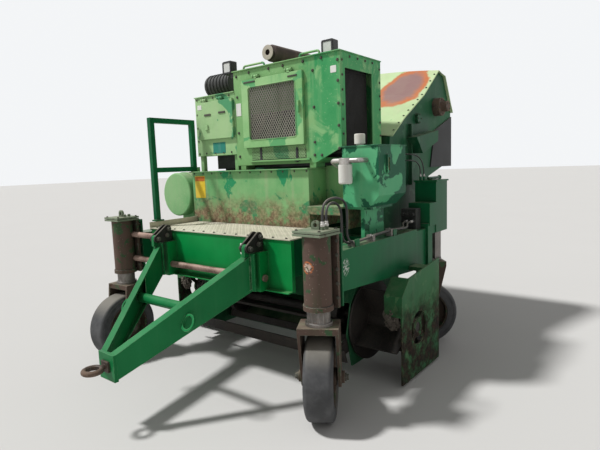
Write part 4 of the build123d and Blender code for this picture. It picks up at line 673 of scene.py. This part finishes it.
def onSurface(node, start, way):
    # The first point of a CAD node met from the start along the way.
    piece = nodes[node]
    back = piece.matrix_world.inverted()
    hit, place, normal, index = piece.ray_cast(back @ Vector(start), back.to_3x3() @ Vector(way))
    return np.array(piece.matrix_world @ place) if hit else None


def makePiece(name, shapes, finish, body, smooth=True, replaces=()):
    # All the shapes in one mesh, with doubles merged, faces outwards and edges sharp past 34 degrees.
    places, faces, start = [], [], 0
    for corners, sides in shapes:
        places.append(corners)
        faces += [[start + i for i in side] for side in sides]
        start += len(corners)
    mesh = bpy.data.meshes.new(name)
    mesh.from_pydata(np.concatenate(places).tolist(), [], faces)
    draft = bmesh.new()
    draft.from_mesh(mesh)
    bmesh.ops.remove_doubles(draft, verts=draft.verts, dist=1e-5)
    bmesh.ops.recalc_face_normals(draft, faces=draft.faces)
    draft.to_mesh(mesh)
    draft.free()
    mesh.materials.append(finishes[finish])
    if smooth:
        mesh.shade_smooth()
        mesh.set_sharp_from_angle(angle=math.radians(34))
    piece = bpy.data.objects.new(name, mesh)
    bpy.context.scene.collection.objects.link(piece)
    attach(piece, body)
    if replaces:
        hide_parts(*replaces)
    return piece


rightWay, frontWay, upWay = (1, 0, 0), (0, -1, 0), (0, 0, 1)


def frontPlates(places, corner, thick):
    # Plates that face the front; each one is its middle, its width and its height.
    return [plateShape(middle, rightWay, upWay, wide, tall, corner, thick) for middle, wide, tall in places]


# Grille door: frame with a rounded window, a bead round it, hinge eyes with pins, and a pull handle.
doorLook = {
    "low": (-0.190, 1.768), "high": (0.455, 2.322), "front": -0.1863, "back": -0.1603, "corner": 0.008,
    "window": (-0.116, 1.832, 0.381, 2.258), "windowCorner": 0.018, "bead": 0.006, "beadRise": 0.004,
    "hinges": (-0.030, 0.320), "pinY": -0.1783, "pinZ": 2.342, "pin": (0.008, 0.070), "eye": (0.012, 0.028),
    "handle": (0.419, 2.055, 0.020, 0.090), "handleRise": 0.022}


def grilleDoor(look):
    low, high, window = look["low"], look["high"], look["window"]
    middle = ((low[0] + high[0]) / 2, look["back"], (low[1] + high[1]) / 2)
    size = (high[0] - low[0], high[1] - low[1])
    opening = ((window[0] + window[2]) / 2, (window[1] + window[3]) / 2)
    openingSize = (window[2] - window[0], window[3] - window[1])
    # The window isn't quite in the frame's middle, so its loops are shifted.
    shift = (opening[0] - middle[0], 0, opening[1] - middle[2])
    shapes = [frameShape(middle, rightWay, upWay, size, openingSize, (look["corner"], look["windowCorner"]),
                         look["back"] - look["front"], shift)]
    bead = look["bead"]
    shapes.append(frameShape((opening[0], look["front"] + 0.001, opening[1]), rightWay, upWay,
                             [side + 2 * bead for side in openingSize], openingSize,
                             (look["windowCorner"] + bead, look["windowCorner"]), look["beadRise"]))
    y, z = look["pinY"], look["pinZ"]
    half = look["eye"][1] / 2
    for x in look["hinges"]:
        for (radius, length), sides in ((look["eye"], 20), (look["pin"], 16)):
            start = (x - length / 2, y, z)
            shapes.append(turnedShape(start, rightWay, [(0, radius), (length, radius)], sides))
        shapes.append(boxShape((x - half, y - 0.008, high[1] - 0.004), (x + half, y + 0.004, z)))
    x, z, wide, tall = look["handle"]
    return shapes + frontPlates([((x, look["front"] + 0.001, z), wide, tall)], 0.006, look["handleRise"])


makePiece("grille_door_skin", grilleDoor(doorLook), "doorPaint", "grille_door_body",
          replaces=("grille_door",))
grilleLook = {"pitch": (0.0245, 0.0365), "bar": 0.0032, "y": -0.174, "tuck": 0.004}
left, bottom, right, top = doorLook["window"]
tuck = grilleLook["tuck"]
grille = meshShapes((left - tuck, bottom - tuck), (right + tuck, top + tuck), grilleLook)
makePiece("grille_door_mesh", grille, "meshMetal", "grille_door_body", smooth=False)
# Two dark hinge straps lie along the door's top rail.
strapLook = {"places": ((-0.0955, 2.302, 0.130), (0.362, 2.290, 0.094)), "y": -0.1857, "height": 0.013}
straps = [((x, strapLook["y"], z), wide, strapLook["height"]) for x, z, wide in strapLook["places"]]
makePiece("grille_door_straps", frontPlates(straps, 0.003, 0.005), "boltPaint", "grille_door_body")
# Two short straps on the cabinet's door.
cabinetLook = {"places": ((-0.634, 2.086), (-0.447, 2.094)), "y": -0.1817, "size": (0.086, 0.017)}
straps = [((x, cabinetLook["y"], z), *cabinetLook["size"]) for x, z in cabinetLook["places"]]
makePiece("cabinet_door_straps", frontPlates(straps, 0.004, 0.007), "boltPaint", "cabinet_door_body")
print("doors dressed")

# Sill under the door: a strip of the same mesh, and two rubber latches.
sillLook = {"low": (-0.118, 1.664), "high": (0.451, 1.765), "y": -0.1622, "pitch": (0.017, 0.024),
            "bar": 0.0044}
makePiece("sill_mesh", meshShapes(sillLook["low"], sillLook["high"], sillLook), "cabinetPaint", "root",
          smooth=False)
latchLook = {"places": ((-0.015, 1.706, 0.122), (0.3675, 1.691, 0.116)), "y": -0.1596, "width": 0.024,
             "grip": (0.044, 0.014), "gripRise": 0.016, "bolt": 0.007}
latches = []
for x, z, tall in latchLook["places"]:
    y = latchLook["y"]
    grip = ((x, y, z - tall / 2 + 0.012), *latchLook["grip"])
    latches += frontPlates([((x, y, z), latchLook["width"], tall)], 0.010, 0.009)
    latches += frontPlates([grip], 0.006, latchLook["gripRise"])
    latches.append(boltShape((x, y - 0.0094, z + tall / 2 - 0.016), frontWay, latchLook["bolt"]))
makePiece("door_latches", latches, "blackRubber", "root")
print("sill dressed")


def columnStarts(x):
    # Two upright rows of five.
    return [(x + side, -2.0, z) for side in (-0.0915, 0.0915) for z in np.linspace(0.80, 1.15, 5)]


def capStarts(x):
    # Four at the corners of a column's cap.
    return [(x + a, -0.860 + b, 2.0) for a in (-0.084, 0.084) for b in (-0.084, 0.084)]


def circleStarts(y, z, radius, count, first=0.0):
    # Points of a circle round a shaft: y + radius * cos a, z + radius * sin a.
    return [(2.0, y + radius * math.cos(a), z + radius * math.sin(a))
            for a in np.arange(count) * 2 * math.pi / count + first]


# Bolts. Each row says the node they stand on, the way they point, their size, and where the search for the
# surface starts.
boltRows = {
    "housing_bolts": ("radiator_housing", frontWay, 0.012, [
        (x, -1.0, z) for x, z in (
            (0.539, 2.306), (0.542, 2.038), (0.763, 2.205), (0.763, 2.044), (0.763, 1.886), (0.541, 1.778),
            (0.537, 1.681), (0.603, 1.678), (0.763, 2.350), (0.763, 1.720), (-0.268, 1.70), (-0.268, 1.90),
            (-0.268, 2.20), (-0.268, 2.37), (0.10, 2.385), (0.25, 2.385), (0.45, 2.385), (0.62, 2.385),
            (-0.12, 2.385))]),
    "housing_side_bolts": ("radiator_housing", rightWay, 0.010, [
        (1.2, y, z) for y in (-0.135, 0.412) for z in np.arange(1.72, 2.38, 0.105)] + [
        (1.2, y, 2.385) for y in np.arange(-0.03, 0.36, 0.11)]),
    "cabinet_bolts": ("control_cabinet", frontWay, 0.009, [
        (x, -1.0, z) for z in (2.232, 1.745) for x in (-0.795, -0.70, -0.577, -0.47, -0.37)] + [
        (-0.800, -1.0, z) for z in (1.86, 1.98, 2.10)]),
    "tank_bolts": ("front_tank", frontWay, 0.008, [
        (x, -1.0, 1.563) for x in np.arange(-0.77, 0.53, 0.118)]),
    "deck_bolts": ("deck", upWay, 0.010, [(x, -0.748, 2.0) for x in np.arange(-0.70, 0.73, 0.118)]),
    "column_left_bolts": ("leg_column_front_left", frontWay, 0.0125, columnStarts(1.045)),
    "column_right_bolts": ("leg_column_front_right", frontWay, 0.0125, columnStarts(-1.045)),
    "cap_left_bolts": ("leg_column_front_left", upWay, 0.011, capStarts(1.045)),
    "cap_right_bolts": ("leg_column_front_right", upWay, 0.011, capStarts(-1.045)),
    "hood_bolts": ("elevator_hood", upWay, 0.010, [
        (x, y, 3.0) for x in (-0.835, 0.835) for y in np.arange(0.55, 1.60, 0.094)]),
    "gear_case_bolts": ("head_shaft", rightWay, 0.010, circleStarts(1.430, 2.120, 0.068, 8, 0.2)),
    "motor_bolts": ("head_shaft", rightWay, 0.008, circleStarts(1.430, 2.120, 0.034, 4, 0.78)),
    "bearing_bolts": ("elevator_housing", rightWay, 0.008, circleStarts(1.010, 1.990, 0.033, 4)),
}
boltCount = 0
for name, (node, out, size, starts) in boltRows.items():
    # A bolt whose start meets nothing would hang in the air, so it is left out and printed.
    places = [onSurface(node, start, tuple(-c for c in out)) for start in starts]
    landed = [place for place in places if place is not None]
    if len(landed) < len(starts):
        print(name, "left out:", len(starts) - len(landed))
    makePiece(name, [boltShape(place, out, size) for place in landed], "boltPaint", "root")
    boltCount += len(landed)
# Nuts on the ends of the tongue's hinge pins and bolts.
knuckleNuts = {"size": 0.019, "middle": 0.500, "half": 0.043,
               "ends": ((-0.910, 1.072), (-0.830, 1.092), (-0.810, 1.140))}
nuts = []
for side, face in ((-1, -1), (-1, 1), (1, -1), (1, 1)):
    x = side * knuckleNuts["middle"] + face * knuckleNuts["half"]
    nuts += [boltShape((x, y, z), (face, 0, 0), knuckleNuts["size"]) for y, z in knuckleNuts["ends"]]
makePiece("knuckle_nuts", nuts, "boltPaint", "root")
print("bolts set:", boltCount)

# Wheels: five nuts each side of the disc, nuts on the axle's ends, and raised ribs round the tyre's walls.
wheelLook = {
    "reach": 0.070, "height": 0.275, "boltCircle": 0.105, "disc": 0.007, "nut": 0.017, "axleNut": 0.026,
    "wall": 0.0872, "ribs": (0.206, 0.240, 0.247),
    "rib": ((-0.001, -0.0035), (0.0022, -0.001), (0.0022, 0.001), (-0.001, 0.0035))}
wheelLegs = {"front_left": (1.045, -0.860, 210.0), "front_right": (-1.045, -0.860, 5.0),
             "rear_left": (1.030, 0.860, -51.0), "rear_right": (-1.030, 0.860, -20.0)}
for corner, (x, y, degrees) in wheelLegs.items():
    a = math.radians(degrees)
    axle = np.array((math.cos(a), math.sin(a), 0.0))
    cross = np.array((-math.sin(a), math.cos(a), 0.0))
    center = np.array((x, y, wheelLook["height"])) - wheelLook["reach"] * cross
    nuts, ribs, ends = [], [], []
    for side in (-1, 1):
        out = side * axle
        for turn in np.arange(5) * 2 * math.pi / 5:
            spoke = wheelLook["boltCircle"] * (math.cos(turn) * cross + math.sin(turn) * np.array(upWay))
            nuts.append(boltShape(center + spoke + wheelLook["disc"] * out, out, wheelLook["nut"]))
        for radius in wheelLook["ribs"]:
            section = [(rise, radius + more) for rise, more in wheelLook["rib"]]
            ribs.append(turnedShape(center + wheelLook["wall"] * out, out, section, 48, closed=True))
        face = onSurface("fork_" + corner, tuple(center + 0.5 * out), tuple(-out))
        ends.append(boltShape(face, out, wheelLook["axleNut"]))
    makePiece("wheel_nuts_" + corner, nuts, "boltPaint", "rolling_" + corner)
    makePiece("tyre_ribs_" + corner, ribs, "solidTyre", "rolling_" + corner)
    makePiece("axle_nuts_" + corner, ends, "boltPaint", "swivel_" + corner)
print("wheels dressed")

# Signs and stickers, all blank: node they stand on, middle, width, height, finish.
signLook = {
    "warning_sign": ("front_tank", (-0.698, 1.444), 0.138, 0.200, "signYellow"),
    "warning_sign_band": ("front_tank", (-0.698, 1.517), 0.126, 0.040, "signOrange"),
    "housing_sticker_left": ("radiator_housing", (-0.2575, 2.095), 0.059, 0.106, "signWhite"),
    "housing_sticker_right": ("radiator_housing", (0.7255, 2.289), 0.052, 0.050, "signWhite"),
    "cabinet_sticker": ("cabinet_door", (-0.738, 2.159), 0.056, 0.042, "signWhite"),
    "cabinet_plate": ("control_cabinet", (-0.5255, 1.7885), 0.163, 0.097, "signTeal"),
    "plate_label": ("front_plate", (0.330, 1.032), 0.074, 0.080, "signWhite"),
}
bandLift = 0.0016  # The band lies on the sign.
for name, (node, (x, z), wide, tall, finish) in signLook.items():
    body = "cabinet_door_body" if node == "cabinet_door" else "root"
    lift = bandLift if name == "warning_sign_band" else 0.0
    place = onSurface(node, (x, -2.0, z), (0, 1, 0)) + np.array((0, 0.0004 - lift, 0))
    makePiece(name, frontPlates([(place, wide, tall)], 0.006, 0.0018), finish, body)
print("signs placed:", len(signLook))

# Work lamps: a pale lens in a dark bezel on each lamp's front.
lampLook = {"places": ((0.615, -0.0696, 2.4785), (-0.365, -0.1696, 2.4590)), "lens": (0.084, 0.084),
            "outer": (0.102, 0.102), "inner": (0.076, 0.076), "corners": (0.012, 0.009)}
lenses = frontPlates([(place, *lampLook["lens"]) for place in lampLook["places"]], 0.012, 0.003)
makePiece("lamp_lenses", lenses, "lensGlass", "root")
bezels = [frameShape(place, rightWay, upWay, lampLook["outer"], lampLook["inner"], lampLook["corners"],
                     0.006) for place in lampLook["places"]]
makePiece("lamp_bezels", bezels, "lampShell", "root")

# Silencer: a pale end disc with a dark outlet in it.
silencerLook = {"place": (-0.030, -0.0132, 2.556), "radius": 0.061, "outlet": 0.024}
radius, outlet = silencerLook["radius"], silencerLook["outlet"]
section = [(0, outlet), (0.0026, outlet), (0.0040, 0.5 * radius), (0.0026, radius), (0, radius)]
makePiece("muffler_disc", [turnedShape(silencerLook["place"], frontWay, section, 40, closed=True)],
          "discPaint", "root")
print("lamps and silencer dressed")

# Deck chequers: raised lozenges in rows, turned by turns one way and the other.
deckLook = {"low": (-0.742, -0.730), "high": (0.742, -0.232), "pitch": 0.036, "length": 0.026,
            "width": 0.0075, "height": 0.0016, "top": 1.1283}


def chequers(look):
    # Corner k of a lozenge: (0.5 length * cos, 0.5 width * sin) at six even angles, then turned and moved.
    t = np.arange(6) * math.pi / 3
    oval = np.stack([0.5 * look["length"] * np.cos(t), 0.5 * look["width"] * np.sin(t)], 1)
    shapes = []
    for i, x in enumerate(np.arange(look["low"][0], look["high"][0], look["pitch"])):
        for j, y in enumerate(np.arange(look["low"][1], look["high"][1], look["pitch"])):
            a = math.pi / 4 * (1 if (i + j) % 2 else -1)
            turned = oval @ np.array([[math.cos(a), math.sin(a)], [-math.sin(a), math.cos(a)]])
            shapes.append(bridged([
                np.column_stack([share * turned + (x, y), np.full(6, look["top"] + up)])
                for share, up in ((1.0, -0.0004), (0.72, look["height"]))]))
    return shapes


makePiece("deck_chequers", chequers(deckLook), "deckPaint", "root")
print("deck chequered")

# Hose ends: a six-sided nut and a sleeve at every end, the thinner hoses' ones smaller.
fittingLook = {
    "nut": 0.0135, "sleeve": 0.0105, "length": 0.030, "thin": 0.72, "ways": {
        "leg_hose_outer": ((0, 0, 1), (0, -1, 0)), "leg_hose_inner": ((0, 0, 1), (0, -1, 0)),
        "rear_hose_upper": ((1, 0, 0), (0, 0, 1)), "rear_hose_lower": ((1, 0, 0), (0, 0, 1))}}
fittings = []
for hose, ways in fittingLook["ways"].items():
    share = fittingLook["thin"] if hose.startswith("rear") else 1.0
    nut, sleeve, length = (share * fittingLook[k] for k in ("nut", "sleeve", "length"))
    for end, way in zip((0, -1), ways):
        start = np.asarray(hoseLook[hose]["points"][end]) - 0.0005 * np.asarray(way)
        nutProfile = [(0, nut), (0.45 * length, nut), (0.5 * length, 0.86 * nut)]
        sleeveProfile = [(0.4 * length, sleeve), (0.92 * length, sleeve), (length, 0.86 * sleeve)]
        fittings.append(turnedShape(start, way, nutProfile, 6))
        fittings.append(turnedShape(start, way, sleeveProfile, 16))
makePiece("hose_fittings", fittings, "bareSteel", "root")
# Clips that hold the two leg hoses on the arm.
clipLook = {"places": ((-0.506, 1.092), (-0.265, 1.101), (0.004, 1.111)), "width": 0.030, "rise": 0.011,
            "ends": (1.046, 1.098), "foot": 1.0695, "bolt": 0.008, "boltX": 1.0725}
clips = []
for y, z in clipLook["places"]:
    half, top = clipLook["width"] / 2, z + clipLook["rise"]
    start, end = clipLook["ends"]
    clips.append(boxShape((start, y - half, clipLook["foot"]), (end, y + half, top)))
    clips.append(boltShape((clipLook["boltX"], y, top), upWay, clipLook["bolt"]))
makePiece("hose_clips", clips, "tubeSteel", "root")

# Sight glass on the oil tank's side.
gaugeLook = {"y": -0.135, "z": 1.595, "width": 0.026, "height": 0.104, "corner": 0.010, "thick": 0.004}
face = onSurface("oil_tank", (2.0, gaugeLook["y"], gaugeLook["z"]), (-1, 0, 0))
gauge = plateShape((face[0] - 0.0005, gaugeLook["y"], gaugeLook["z"]), (0, 1, 0), upWay, gaugeLook["width"],
                   gaugeLook["height"], gaugeLook["corner"], gaugeLook["thick"])
makePiece("sight_glass", [gauge], "gaugeGlass", "root")
# Black seals round the feet of the front columns.
sealLook = {"x": 1.045, "y": -0.860, "z": 0.748, "inner": 0.0845, "outer": 0.0895, "height": 0.020}
inner, outer, height = (sealLook[k] for k in ("inner", "outer", "height"))
section = [(0, inner), (0, outer), (height, outer), (height, inner)]
seals = [turnedShape((side * sealLook["x"], sealLook["y"], sealLook["z"]), upWay, section, 48, closed=True)
         for side in (-1, 1)]
makePiece("column_seals", seals, "blackRubber", "root")
print("hose ends, glass and seals set")

# Caked asphalt: stones and crumbs stuck in the mouths of the side plates.
cakeLook = {"middle": (1.160, -0.128, 0.500), "reach": (0.078, 0.046, 0.112), "stones": 110, "stone": 0.015,
            "seed": 7}


def lump(center, reach, seed, around=20, rise=12):
    # A ball of two angles, its radius 1 + 0.12 * the sum of three sines of the corner's own direction.
    u = np.arange(around) * 2 * math.pi / around
    shape = np.random.default_rng(seed).uniform(2.0, 6.0, (3, 3))
    rings = []
    for v in np.linspace(0.12, math.pi - 0.12, rise):
        way = np.stack([math.sin(v) * np.cos(u), math.sin(v) * np.sin(u), np.full(around, math.cos(v))], 1)
        swell = 1 + 0.12 * np.sin(way @ shape).sum(1)
        rings.append(np.asarray(center) + np.asarray(reach) * way * swell[:, None])
    return bridged(rings)


def cake(look, side):
    # One big lump, with stones at middle + 0.82 * reach * a random direction.
    pick = np.random.default_rng(look["seed"])
    middle = np.array((side * look["middle"][0], look["middle"][1], look["middle"][2]))
    reach = np.asarray(look["reach"])
    shapes = [lump(middle, 0.8 * reach, look["seed"])]
    for k in range(look["stones"]):
        way = unit(pick.normal(size=3))
        size = look["stone"] * pick.uniform(0.45, 1.0)
        place = middle + 0.82 * reach * way
        shapes.append(lump(place, size * pick.uniform(0.7, 1.0, 3), look["seed"] + k + 1, 8, 5))
    return shapes


for name, side in (("caked_asphalt_left", 1), ("caked_asphalt_right", -1)):
    makePiece(name, cake(cakeLook, side), "asphaltCake", "root")
print("caked asphalt laid")

# Floor, backdrop light and lamps.
stageLook = {"floorColor": (0.63, 0.62, 0.60), "floorReach": 90.0, "sky": (0.90, 0.915, 0.93), "fill": 0.32,
             "sunFrom": (-0.72, -0.60, 1.40), "sunStrength": 3.2, "sunAngle": 6.0}


def makeStage(look):
    # A flat floor, a world that lights evenly and shows a pale backdrop, and one soft sun.
    reach = look["floorReach"]
    mesh = bpy.data.meshes.new("floor")
    corners = [(-reach, -reach, 0), (reach, -reach, 0), (reach, reach, 0), (-reach, reach, 0)]
    mesh.from_pydata(corners, [], [(0, 1, 2, 3)])
    floor = bpy.data.objects.new("floor", mesh)
    bpy.context.scene.collection.objects.link(floor)
    w = Wiring("floorPaint")
    shade = w.mix(w.noise(0.6, 4, 0.5), look["floorColor"], [0.97 * c for c in look["floorColor"]])
    mesh.materials.append(w.finish(shade, 0.9, specular=0.1))
    world = bpy.data.worlds.new("studio")
    bpy.context.scene.world = world
    world.use_nodes = True
    tree = world.node_tree
    tree.nodes.clear()
    path = tree.nodes.new("ShaderNodeLightPath")
    seen = tree.nodes.new("ShaderNodeBackground")
    fill = tree.nodes.new("ShaderNodeBackground")
    pick = tree.nodes.new("ShaderNodeMixShader")
    out = tree.nodes.new("ShaderNodeOutputWorld")
    seen.inputs["Color"].default_value = (*look["sky"], 1.0)
    fill.inputs["Color"].default_value = (1.0, 1.0, 1.0, 1.0)
    fill.inputs["Strength"].default_value = look["fill"]
    # The camera, mirrors and glass see the backdrop; everything else gets the fill light.
    shown = path.outputs["Is Camera Ray"]
    for kind in ("Is Glossy Ray", "Is Transmission Ray"):
        either = tree.nodes.new("ShaderNodeMath")
        either.operation = "MAXIMUM"
        tree.links.new(shown, either.inputs[0])
        tree.links.new(path.outputs[kind], either.inputs[1])
        shown = either.outputs[0]
    tree.links.new(shown, pick.inputs[0])
    tree.links.new(fill.outputs[0], pick.inputs[1])
    tree.links.new(seen.outputs[0], pick.inputs[2])
    tree.links.new(pick.outputs[0], out.inputs[0])
    lamp = bpy.data.lights.new("softSun", "SUN")
    lamp.energy = look["sunStrength"]
    lamp.angle = math.radians(look["sunAngle"])
    sun = bpy.data.objects.new("softSun", lamp)
    bpy.context.scene.collection.objects.link(sun)
    back = unit(look["sunFrom"])
    side = unit(np.cross((0, 0, 1), back))
    turn = np.eye(4)
    turn[:3, 0] = side
    turn[:3, 1] = np.cross(back, side)
    turn[:3, 2] = back
    sun.matrix_world = Matrix(turn.tolist())


makeStage(stageLook)
print("stage made")
